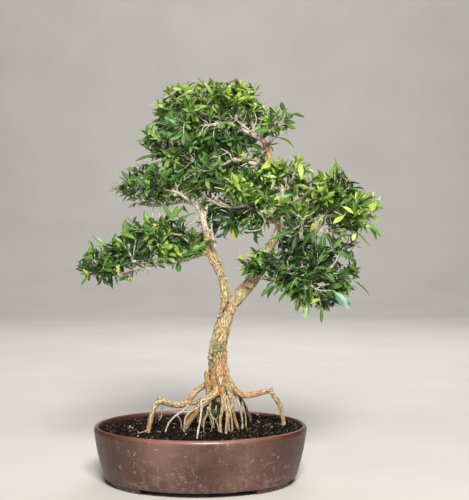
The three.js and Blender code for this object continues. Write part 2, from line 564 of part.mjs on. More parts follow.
// Open a blade from every socket of the shoot where one fits clear of its neighbours
function growLeaves(plan, grown) {
  for (const socket of sockets(plan)) {
    const share = socket.pair / plan.pairs;
    const wave = Math.sin(LEAF.changeStep * grown.items.length);
    const opening = THREE.MathUtils.lerp(LEAF.spread, LEAF.closed, share);
    const usual = opening + LEAF.turnChange * wave;
    const place = share < LEAF.lowPart ? LEAF.lowSize : share > LEAF.topPart ? LEAF.topSize : 1;
    const size = place * (1 + LEAF.sizeChange * wave);
    for (const [turn, scale] of LEAF_TRIES) {
      const angle = usual + turn;
      const direction = socket.along.clone().multiplyScalar(Math.cos(angle))
        .addScaledVector(socket.normal, Math.sin(angle));
      const upward = socket.along.clone().multiplyScalar(Math.sin(angle))
        .addScaledVector(socket.normal, -Math.cos(angle));
      const points = bladePoints(socket.base, direction, upward, size * scale);
      const blade = bladeSolid(points);
      const sample = blade.translate(direction.clone().multiplyScalar(GAP).toArray());
      if (!grown.clashes(sample)) {
        plan.leaves.set(socket.key, points);
        grown.add(blade, "leaf");
        break;
      }
    }
  }
}

// The skin of a leafy shoot: its stem, with each blade growing straight out of a stem face
function shootSolid(plan) {
  const points = [];
  const index = [];
  const put = (point) => points.push(point) - 1;
  const triangle = (a, b, c) => index.push(put(a), put(b), put(c));
  const face = (key, corners) => {
    const blade = plan.leaves.get(key);
    if (!blade) {
      triangle(...corners);
      return;
    }
    for (const [a, b, c] of BLADE_FACES) triangle(blade[a], blade[b], blade[c]);
  };
  const { rings } = plan;
  for (let ring = 0; ring < rings.length - 1; ring++) {
    for (let side = 0; side < 4; side++) {
      const next = (side + 1) % 4;
      const [a, b, c, d] = [rings[ring][side], rings[ring][next], rings[ring + 1][next],
        rings[ring + 1][side]];
      triangle(a, b, d);
      face(`${ring - 2}:${side}`, [b, c, d]);
    }
  }
  const [foot0, foot1, foot2, foot3] = rings[0];
  triangle(foot0, foot2, foot1);
  triangle(foot0, foot3, foot2);
  const cap = rings.at(-1);
  face("cap:1", [cap[1], cap[2], cap[0]]);
  face("cap:3", [cap[3], cap[0], cap[2]]);
  const geometry = new THREE.BufferGeometry().setFromPoints(points);
  return solid(geometry.setIndex(index));
}

// Whether a stem keeps in one length between its limb and its end, clear of what has grown
function standsClear(plan, parent, woodCutter, grown) {
  const fatter = solid(loft(plan.route.rings(plan.shares, 4, GAP)));
  if (grown.clashes(fatter, ["wood", parent])) return false;
  const bare = plan.stem.subtract(woodCutter);
  return bare.volume() > STEM_KEPT.outsideWood * plan.stem.volume() &&
    largestBody(bare).volume() > STEM_KEPT.inOneLength * bare.volume();
}

// Every spray of a pad: one shoot from a limb, and a second that forks from its bare stem
function planPad(name, pad, woodCutter, grown) {
  const limbRoutes = pad.limbs.map((limb) => new Route(LIMBS[limb]));
  const sprays = [];
  shootEnds(pad).forEach(({ end, outward }, step) => {
    const forks = step % 2 === 1;
    const open = sprays.filter((spray) => spray.plans.length < 2);
    const places = forks
      ? startPlaces(open.map((spray) => spray.plans[0].route), end, START.onStem)
      : startPlaces(limbRoutes, end, START.onLimb);
    for (const from of places) {
      const spray = open.find((other) => other.plans[0].route === from.route);
      const pairs = forks ? SHOOT.forkPairs : SHOOT.pairs;
      const plan = planShoot(shootRoute(from, end, outward), pairs);
      if (!standsClear(plan, spray?.plans[0], woodCutter, grown)) continue;
      if (spray) spray.plans.push(plan);
      else sprays.push({ plans: [plan] });
      grown.add(plan.stem, plan);
      break;
    }
  });
  return sprays.map((spray, step) => ({ ...spray, name: `spray_${name}_${step + 1}` }));
}

const treeWood = makeWood();
const woodCutter = makeWood(GAP);
const grown = new Grown();
grown.add(woodCutter, "wood");
const sprays = Object.entries(PADS).flatMap(([name, pad]) =>
  planPad(name, pad, woodCutter, grown));
for (const spray of sprays) spray.plans.forEach((plan) => growLeaves(plan, grown));

const screenPlaces = [-DRAIN.offset, DRAIN.offset];
const bonsai = new THREE.Group();
bonsai.add(piece("pot", makePot(), FINISHES.pot));
screenPlaces.forEach((x, step) => {
  bonsai.add(piece(`drain_screen_${step + 1}`, makeScreen(x), FINISHES.screen));
});
bonsai.add(piece("soil", makeSoil(woodCutter, screenPlaces), FINISHES.soil));
bonsai.add(piece("tree_wood", largestBody(treeWood), FINISHES.wood));
for (const spray of sprays) {
  const leafy = join(spray.plans.map(shootSolid)).subtract(woodCutter);
  bonsai.add(piece(spray.name, largestBody(leafy), FINISHES.leaves));
}

// The origin is on the ground, under the middle of the whole tree's box
const box = new THREE.Box3().setFromObject(bonsai);
const centre = box.getCenter(new THREE.Vector3());
bonsai.position.set(-centre.x, -centre.y, -box.min.z);

export default bonsai;
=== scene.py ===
import math
from collections import namedtuple

import bpy
import numpy as np
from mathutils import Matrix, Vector


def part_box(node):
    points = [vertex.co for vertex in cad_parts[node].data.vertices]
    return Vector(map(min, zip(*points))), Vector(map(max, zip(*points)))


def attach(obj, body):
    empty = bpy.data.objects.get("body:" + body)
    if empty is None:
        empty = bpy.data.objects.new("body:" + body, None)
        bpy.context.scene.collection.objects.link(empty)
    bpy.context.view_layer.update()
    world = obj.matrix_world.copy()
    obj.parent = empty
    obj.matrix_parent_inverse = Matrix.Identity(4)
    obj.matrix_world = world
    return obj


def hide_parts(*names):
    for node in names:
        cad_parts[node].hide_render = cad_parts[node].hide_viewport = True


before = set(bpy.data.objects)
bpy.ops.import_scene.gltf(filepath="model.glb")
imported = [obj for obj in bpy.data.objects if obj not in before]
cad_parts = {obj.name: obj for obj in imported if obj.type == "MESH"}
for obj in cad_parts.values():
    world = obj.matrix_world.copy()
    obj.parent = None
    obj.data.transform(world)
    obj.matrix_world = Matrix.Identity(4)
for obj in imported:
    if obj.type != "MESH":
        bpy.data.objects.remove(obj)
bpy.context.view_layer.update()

# A serissa bonsai on raised roots in its oval pot. Sizes here are millimetres round the middle of
# the pot's underside, +X to the right and -Y towards the front of the tree; place() turns them
# into the frame's metres. Trunk, limbs and roots follow nearly the same routes as the solids.

SHIFT = 500 * sum(corner.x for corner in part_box("pot"))

# Pot and soil
RIM_LENGTH, RIM_DEPTH, RIM_HEIGHT = 124.8, 102.3, 66.6
WALL_BOTTOM, FLOOR_TOP = 5.8, 14.0
DRAIN_OFFSET, DRAIN_RADIUS = 55.0, 9.0
SOIL_LEVEL, SOIL_MOUND, SOIL_HEAP = 57.6, 3.2, 2.2
# How far the pot's wall stands inside the rim's oval, and at what height, from under to inside
POT_PROFILE = [
    [20, 5.9], [14.5, WALL_BOTTOM], [12.2, 6.9], [10.6, 12], [7.2, 25], [4.6, 36], [2.6, 47],
    [1, 57], [0.3, 60.6], [0.4, 62.6], [1.2, 64.6], [2.3, 65.9], [3.5, RIM_HEIGHT], [4.6, 66.2],
    [5.5, 64.9], [6.2, 62], [7.4, 54], [9.2, 42], [11.2, 31], [13.5, 22], [16.5, 16],
    [22, FLOOR_TOP],
]
FOOT_INSET, FOOT_WIDTH, FOOT_HEIGHT = 17.0, 12.0, 6.6
FOOT_SIDE_ANGLE, FOOT_FRONT_ANGLE = 0.34, 0.92
# Where along that line the damp, dark inside of the pot begins, and where it is fully dark
INSIDE_FROM, INSIDE_FULL = 0.555, 0.6
# How far the soil and the middles of its grains stay inside the rim, and the share of dark grains
SOIL_INSET, GRAIN_INSET, DARK_GRAINS = 6.9, 7.8, 0.87

# Camera: where the photograph was taken from, and its field of view
CAMERA_PLACE = (39.8, -1172, 284)
CAMERA_TILT = 0.686
CAMERA_LENS = 72.1

# Routes of the trunk, limbs and roots: x, y, z and the radius there
TRUNK = [
    [22, 0, 93, 7], [21, 0, 106, 12], [20, 0, 123, 11.2], [20, 0, 139, 10.6], [20, 0, 153, 10.2],
    [23, 0, 167, 9.6], [26, 0, 179, 9.2], [30, 0, 192, 8.6], [33, 0, 200, 6],
]
RIGHT_TRUNK = [
    [26, 0, 185, 7.4], [34, 1, 200, 7.5], [41, 2, 210, 7.3], [48, 3, 219, 7.4], [57, 4, 229, 7.5],
    [64, 5, 241, 7.4], [71, 6, 252, 6.9], [78, 6, 265, 6.1], [84, 5, 278, 5.4], [90, 3, 290, 4.8],
    [92, 0, 299, 4.4], [88, -3, 308, 4.3], [92, -5, 318, 4.2], [96, -6, 327, 4.1],
    [97, -5, 336, 4], [93, -3, 345, 3.9], [89, -1, 354, 3.8], [85, 0, 365, 3.6],
    [82, 0, 375, 3.3], [79, 0, 385, 3.1], [77, 0, 392, 3], [73, 0, 398, 2.9], [67, 0, 403, 2.7],
]
LEFT_TRUNK = [
    [26, -1, 191, 4.8], [27, -4, 201, 4.3], [28, -5, 212, 4.2], [28, -5, 223, 4.5],
    [25, -6, 237, 5], [20, -8, 251, 5.4], [13, -10, 267, 5.6], [9, -11, 282, 4.6],
    [6, -11, 296, 4], [3, -10, 307, 3.4], [-1, -9, 316, 2.8], [-7, -8, 323, 2.4],
    [-15, -7, 326, 2.1], [-25, -6, 326, 1.9],
]
LIMBS = {
    "apex_left": [[73, 0, 399, 2.7], [58, -1, 406, 2.2], [46, -2, 412, 2], [36, -3, 419, 1.8],
        [25, -5, 423, 1.6], [11, -6, 427, 1.4], [-3, -6, 429, 1.2], [-16, -4, 430, 1]],
    "apex_up": [[63, 0, 404, 2], [61, 3, 417, 1.8], [57, 7, 429, 1.5], [51, 11, 440, 1.1]],
    "apex_right": [[70, 0, 401, 1.8], [74, -3, 408, 1.5], [81, -5, 413, 1.2], [88, -5, 417, 1]],
    "apex_back": [[46, -2, 412, 1.7], [37, 12, 421, 1.5], [25, 22, 426, 1.3], [8, 27, 424, 1]],
    "apex_front": [[37, -3, 418, 1.6], [25, -14, 417, 1.4], [12, -21, 414, 1.2], [-1, -25, 412, 1]],
    "upper_mid": [[82, 0, 374, 2.8], [72, -4, 371, 2.5], [60, -7, 371, 2.4], [50, -7, 374, 2.2],
        [39, -6, 375, 1.9], [28, -6, 370, 1.7], [16, -6, 367, 1.5], [6, -7, 365, 1.3],
        [-7, -10, 372, 1.2], [-21, -11, 379, 1.1], [-33, -9, 384, 1]],
    "upper_back": [[80, 0, 380, 2.2], [70, 11, 386, 1.9], [53, 21, 388, 1.6], [34, 28, 388, 1.4],
        [15, 31, 387, 1.1]],
    "left_leader": [[4, -11, 303, 2.6], [7, -3, 319, 2.4], [11, 4, 333, 2.2], [13, 9, 348, 2],
        [8, 13, 362, 1.7], [-1, 17, 374, 1.4], [-13, 21, 382, 1.1]],
    "left_front": [[-10, -8, 324, 2], [-18, -16, 331, 1.6], [-28, -22, 337, 1.3], [-39, -26, 339, 1]],
    "left_back": [[-17, -7, 326, 1.8], [-24, 4, 332, 1.6], [-34, 15, 337, 1.3], [-46, 24, 341, 1]],
    "low_left": [[15, -9, 266, 3], [6, -12, 266, 2.7], [-6, -16, 263, 2.4], [-18, -19, 258, 2.2],
        [-32, -20, 254, 2.1], [-46, -20, 255, 2], [-59, -18, 252, 1.8], [-72, -15, 246, 1.6],
        [-83, -12, 243, 1.4], [-98, -8, 242, 1.2], [-111, -5, 242, 1]],
    "low_left_back": [[-31, -20, 254, 1.7], [-41, -6, 261, 1.5], [-51, 7, 266, 1.3], [-64, 15, 269, 1]],
    "low_left_front": [[-58, -18, 252, 1.5], [-67, -25, 255, 1.3], [-77, -29, 258, 1]],
    "low_left_top": [[-6, -16, 261, 1.7], [-9, -14, 269, 1.5], [-12, -10, 277, 1.3], [-15, -6, 286, 1]],
    "centre_low": [[89, -2, 305, 2.8], [79, -8, 303, 2.5], [73, -12, 311, 2.3], [63, -15, 317, 2],
        [52, -17, 320, 1.8], [37, -17, 321, 1.6], [22, -15, 324, 1.3], [9, -12, 329, 1]],
    "centre_front": [[52, -17, 320, 1.7], [44, -26, 327, 1.5], [36, -31, 336, 1.3], [30, -33, 346, 1]],
    "left_tip": [[-23, -6, 326, 1.9], [-33, -5, 324, 1.7], [-47, -5, 322, 1.5], [-61, -4, 322, 1.2],
        [-73, -4, 324, 1]],
    "centre_back": [[95, -4, 340, 2.4], [84, 10, 338, 2.1], [70, 21, 335, 1.8], [55, 29, 334, 1.5],
        [39, 34, 335, 1.1]],
    "right_upper": [[91, 1, 295, 3], [102, -6, 292, 2.8], [113, -12, 293, 2.5], [125, -16, 294, 2.3],
        [136, -18, 294, 2.1], [144, -18, 291, 1.9], [153, -16, 294, 1.8], [164, -14, 295, 1.6],
        [175, -12, 294, 1.4], [185, -9, 297, 1.2], [194, -7, 299, 1]],
    "right_top": [[97, -5, 329, 2.4], [107, 4, 334, 2.1], [120, 14, 336, 1.8], [133, 22, 333, 1.5],
        [148, 28, 330, 1.1]],
    "right_front": [[114, -12, 293, 1.8], [117, -23, 301, 1.5], [121, -31, 309, 1.1]],
    "right_up": [[136, -18, 294, 1.8], [141, -22, 306, 1.5], [147, -24, 318, 1.1]],
    "right_lower": [[71, 2, 252, 3], [81, -13, 255, 2.7], [91, -23, 253, 2.4], [101, -30, 248, 2.1],
        [112, -34, 241, 1.8], [123, -34, 233, 1.5], [134, -30, 225, 1.1]],
    "right_lower_back": [[77, 7, 262, 2.7], [92, 19, 265, 2.3], [109, 27, 265, 1.9],
        [127, 31, 261, 1.5], [144, 30, 255, 1.1]],
    "right_lower_side": [[112, -34, 241, 1.6], [128, -26, 241, 1.4], [148, -16, 239, 1.1]],
    "fork_twig": [[61, 2, 239, 2.4], [58, -9, 243, 1.9], [52, -15, 247, 1.5], [44, -19, 250, 1.1]],
    "neck_twig": [[96, -6, 332, 2.2], [101, -9, 340, 1.7], [106, -11, 349, 1.4], [108, -12, 357, 1]],
}
ROOTS = {
    "left_arch": [[12, 6, 117, 4], [5, 7, 110, 3.6], [-3, 5, 106, 3.3], [-8, 2, 101, 3.2],
        [-12, -2, 96, 3.2], [-17, -5, 91, 3.6], [-26, -9, 90, 3.8], [-35, -13, 92, 3.9],
        [-43, -16, 95, 4.1], [-48, -18, 95, 3.9], [-52, -19, 90, 3.4], [-55, -20, 82, 3.1],
        [-57, -21, 74, 2.9], [-59, -21, 65, 2.7], [-60, -22, 56, 2.4], [-60, -22, 48, 2.2]],
    "front_left": [[21, -6, 114, 5], [18, -11, 104, 4.6], [12, -14, 99, 4.3], [5, -15, 93, 4.2],
        [-1, -14, 88, 4.2], [-6, -13, 81, 4.1], [-11, -11, 74, 4], [-16, -9, 66, 3.8],
        [-18, -8, 60, 3.2], [-19, -8, 49, 2.6]],
    "right_arch": [[27, -3, 137, 4], [30, -5, 126, 4.4], [35, -5, 114, 4.4], [42, -4, 104, 4.2],
        [51, -2, 100, 3.8], [59, 0, 100, 3.6], [67, 2, 101, 3.4], [76, 4, 103, 3.2],
        [82, 5, 103, 3.2], [87, 6, 97, 3], [92, 7, 89, 2.9], [95, 7, 80, 2.8], [97, 8, 71, 2.8],
        [98, 8, 60, 2.7], [98, 8, 48, 2.4]],
    "front_ridge": [[20, -5, 147, 5], [21, -7, 133, 5], [23, -8, 119, 4.8], [25, -10, 107, 3.6],
        [26, -14, 94, 2.2], [25, -17, 83, 1.9], [23, -19, 72, 1.7], [24, -20, 60, 1.5],
        [25, -20, 49, 1.2]],
    "left_buttress": [[7, -2, 126, 3.2], [9, -3, 115, 4.6], [10, -4, 103, 4.2], [8, -1, 91, 3],
        [5, 4, 80, 2.2], [3, 8, 68, 1.9], [1, 10, 55, 1.6], [1, 10, 45, 1.3]],
    "front_middle": [[26, -8, 105, 3], [29, -14, 94, 2.2], [31, -19, 84, 2], [31, -23, 73, 1.9],
        [30, -25, 61, 1.7], [30, -25, 50, 1.4]],
    "front_right": [[30, -6, 122, 4.4], [33, -7, 109, 4], [36, -8, 97, 2.8], [38, -7, 86, 2.2],
        [40, -5, 74, 1.9], [43, -3, 64, 1.7], [45, -3, 51, 1.4]],
    "right_fine": [[40, -3, 106, 2.6], [44, -3, 93, 1.8], [47, -2, 81, 1.5], [49, -1, 70, 1.2],
        [49, 0, 59, 1.1], [49, 0, 48, 1]],
    "right_back": [[39, 4, 108, 3.4], [45, 14, 97, 2.9], [50, 26, 86, 2.5], [55, 38, 74, 2.2],
        [59, 45, 64, 1.9], [61, 48, 50, 1.5]],
    "straight": [[6, -17, 97, 1.5], [2, -22, 97, 1.3], [2, -30, 89, 1.2], [1, -39, 78, 1.15],
        [-1, -46, 68, 1.1], [-2, -50, 60, 1.1], [-3, -52, 50, 1]],
    "left_fine": [[-13, -6, 91, 1.5], [-19, -9, 84, 1.2], [-27, -12, 79, 1.1], [-33, -15, 74, 1],
        [-38, -18, 66, 1], [-40, -20, 59, 0.9], [-40, -21, 50, 0.8]],
    "back_left": [[13, 6, 108, 4], [7, 20, 94, 3.2], [1, 34, 79, 2.6], [-3, 44, 68, 2.2],
        [-5, 48, 55, 1.7]],
    "back_middle": [[22, 8, 107, 4], [22, 24, 93, 3.2], [23, 40, 80, 2.6], [25, 52, 69, 2.1],
        [24, 56, 56, 1.6]],
    "upper_left_feed": [[16, -8, 106, 3.4], [8, -12, 100, 3], [1, -12, 96, 2.8], [-7, -9, 92, 2.7],
        [-14, -6, 91, 2.6]],
}
# Foot, direction outward, radius and length of each stub where an old limb or root was cut
STUBS = [
    [[13, -3, 125], [-1, -0.1, 0.35], 2.6, 8], [[14, -5, 144], [-0.9, -0.4, 0.2], 3.4, 5],
    [[24, -4, 192], [-1, -0.3, 0.3], 1.7, 5.5], [[12, -10, 268], [-1, 0, 0.6], 1.7, 9],
    [[26, -6, 235], [1, -0.3, 0.3], 2, 7], [[82, 5, 103], [0.4, -0.2, 1], 2.2, 6],
    [[17, -9, 259], [1, -0.2, -0.3], 3, 8.5], [[8, -11, 291], [1, -0.3, 0.4], 2.2, 6],
    [[45, 3, 216], [0.6, -0.6, 0.4], 3, 5], [[-46, -17, 97], [-0.3, -0.2, 1], 2.6, 5],
    [[18, -9, 257], [-1, -0.4, -0.2], 3.3, 7], [[29, -6, 222], [1, -0.4, 0.3], 1.4, 7],
]

# Hair roots that hang from the thicker ones, and a twig lying on the soil
HAIR_ROOTS = [
    [[-43, -16, 92, 1], [-44, -18, 84, 0.7], [-45, -19, 77, 0.5], [-48, -20, 73, 0.35]],
    [[-27, -12, 79, 0.9], [-24, -14, 75, 0.7], [-22, -16, 70, 0.5], [-22, -17, 63, 0.4]],
    [[-2, -16, 88, 1.6], [-10, -18, 84, 1.4], [-16, -19, 78, 1.2], [-18, -20, 70, 1], [-18, -20, 56, 0.8]],
    [[9, -12, 88, 1.2], [8, -15, 80, 1], [5, -17, 73, 0.8], [4, -18, 56, 0.6]],
    [[11, -12, 87, 1.2], [13, -16, 78, 1], [18, -19, 74, 0.8], [21, -21, 66, 0.6], [22, -21, 56, 0.5]],
    [[31, -9, 100, 1.8], [33, -12, 88, 1.4], [36, -14, 78, 1.2], [37, -15, 66, 1], [37, -15, 55, 0.8]],
    [[47, 2, 98, 1.4], [50, 4, 86, 1], [53, 5, 74, 0.8], [53, 6, 56, 0.6]],
    [[-57, -21, 66, 1.2], [-63, -24, 62, 0.7], [-70, -27, 60.5, 0.4]],
    [[5, -18, 58, 0.6], [4, -19, 70, 0.5], [8, -19, 79, 0.45], [12, -19, 86, 0.35]],
    [[12, -18, 58, 0.6], [14, -19, 68, 0.5], [11, -19, 78, 0.4], [8, -19, 83, 0.3]],
    [[14, -19, 66, 0.5], [18, -19, 72, 0.4], [21, -19, 79, 0.3]],
    [[17, 6, 106, 4.4], [16, 12, 92, 3.4], [13, 17, 76, 2.6], [12, 19, 56, 2]],
    [[23, 7, 104, 3.6], [21, 13, 88, 3], [22, 18, 72, 2.3], [24, 20, 56, 1.8]],
    [[38, -8, 92, 2.2], [35, -11, 84, 1.5], [33, -12, 74, 1.1], [34, -12, 56, 0.8]],
]
# Places with moss on the bark: x, y, z and how far it spreads
MOSS = [[22, -10, 157, 9], [17, -10, 148, 6], [12, -6, 113, 9], [13, -6, 135, 6]]
# Dark lines on the bark: a scar round the right trunk, and the seam between the two trunks
SCARS = [[[49, -4, 229, 1.6], [53, -5, 226.5, 2], [56, -5, 225, 2], [60, -3, 224, 1.6]],
         [[34, -5, 214, 1.2], [31, -7, 208, 1.5], [28, -8, 201, 1.5], [25, -9, 193, 1.2]]]
# Places where the bark has peeled off and the wood shows orange-brown
PEELED = [[77, 0, 388, 15], [81, 0, 375, 15], [60, -7, 371, 17], [89, 0, 302, 8],
          [21, -11, 137, 10], [22, -11, 124, 8], [7, -4, 120, 10], [52, -3, 103, 15]]

# Fine twigs that show among the leaves, each from the nearest limb: its depth y, the radius at its
# foot, and x, z of its points; and the share of that radius that is gone at the tip
SHOWN_TWIGS = [
    [-14, 0.9, [58, 407], [47, 416], [37, 423], [25, 422], [16, 425]],
    [-18, 0.6, [37, 422], [31, 430], [30, 439]], [-18, 0.6, [42, 420], [44, 429], [42, 439]],
    [-16, 0.55, [48, 416], [53, 426], [51, 435]], [-14, 0.7, [60, 408], [65, 420], [62, 432]],
    [-12, 0.6, [67, 406], [70, 418], [74, 428]],
    [-12, 0.8, [70, 408], [77, 410], [86, 410], [96, 421]],
    [-4, 0.8, [79, 390], [85, 398], [92, 406]],
    [-16, 0.9, [35, 373], [24, 367], [10, 365], [-3, 360]],
    [-18, 0.8, [37, 374], [33, 382], [24, 387]], [-20, 0.6, [25, 368], [15, 373], [4, 374]],
    [-20, 0.55, [33, 382], [22, 378], [14, 377]], [-10, 0.7, [-37, 325], [-43, 333], [-49, 342]],
    [-12, 0.7, [-34, 325], [-37, 333], [-38, 343]], [-12, 0.6, [-43, 323], [-52, 330], [-58, 337]],
    [-8, 0.6, [-26, 328], [-27, 335], [-25, 343]], [-10, 0.6, [-6, 326], [-8, 333], [-6, 342]],
    [-12, 0.7, [-1, 321], [1, 330], [7, 340]],
    [-28, 0.9, [53, 322], [38, 319], [23, 321], [11, 329]],
    [-30, 0.6, [32, 320], [22, 327], [14, 335]], [-30, 0.7, [39, 320], [35, 330], [32, 339]],
    [-30, 0.6, [46, 322], [40, 328], [31, 333]], [-26, 1.0, [75, 302], [71, 313], [69, 323]],
    [-26, 0.8, [75, 303], [77, 313], [79, 323]], [-28, 0.6, [71, 309], [65, 316], [62, 324]],
    [-26, 0.7, [74, 302], [71, 295], [58, 292], [37, 298]],
    [-18, 0.6, [99, 340], [100, 357], [104, 374]], [-18, 0.45, [101, 361], [105, 367], [108, 372]],
    [-28, 0.6, [137, 267], [150, 270], [158, 275]],
    [-28, 0.7, [113, 243], [127, 247], [140, 252], [150, 251]],
    [-28, 0.6, [150, 252], [157, 260], [153, 269]],
    [-14, 0.8, [-104, 244], [-116, 252], [-128, 262]],
    [-26, 0.9, [-41, 290], [-35, 286], [-31, 283]],
    [-26, 0.7, [135, 292], [146, 290], [154, 294], [167, 294]],
    [-8, 0.6, [-43, 436], [-53, 439], [-61, 437]], [-8, 0.45, [-51, 439], [-54, 442], [-56, 442]],
    [-14, 0.7, [69, 239], [77, 242], [82, 249]], [-14, 0.5, [72, 240], [76, 237], [81, 240]],
]
TWIG_TAPER = 0.45
# Two more, with a radius at each point
OTHER_TWIGS = [
    [[0, -14, 311, 0.45], [-4, -14, 308, 0.42], [-7, -14, 303, 0.4], [-13, -14, 300, 0.36],
     [-19, -14, 292, 0.3]],
    [[17, -12, 272, 1.4], [15, -12, 282, 1.25], [14, -12, 292, 1.1], [13, -12, 298, 0.9]],
]
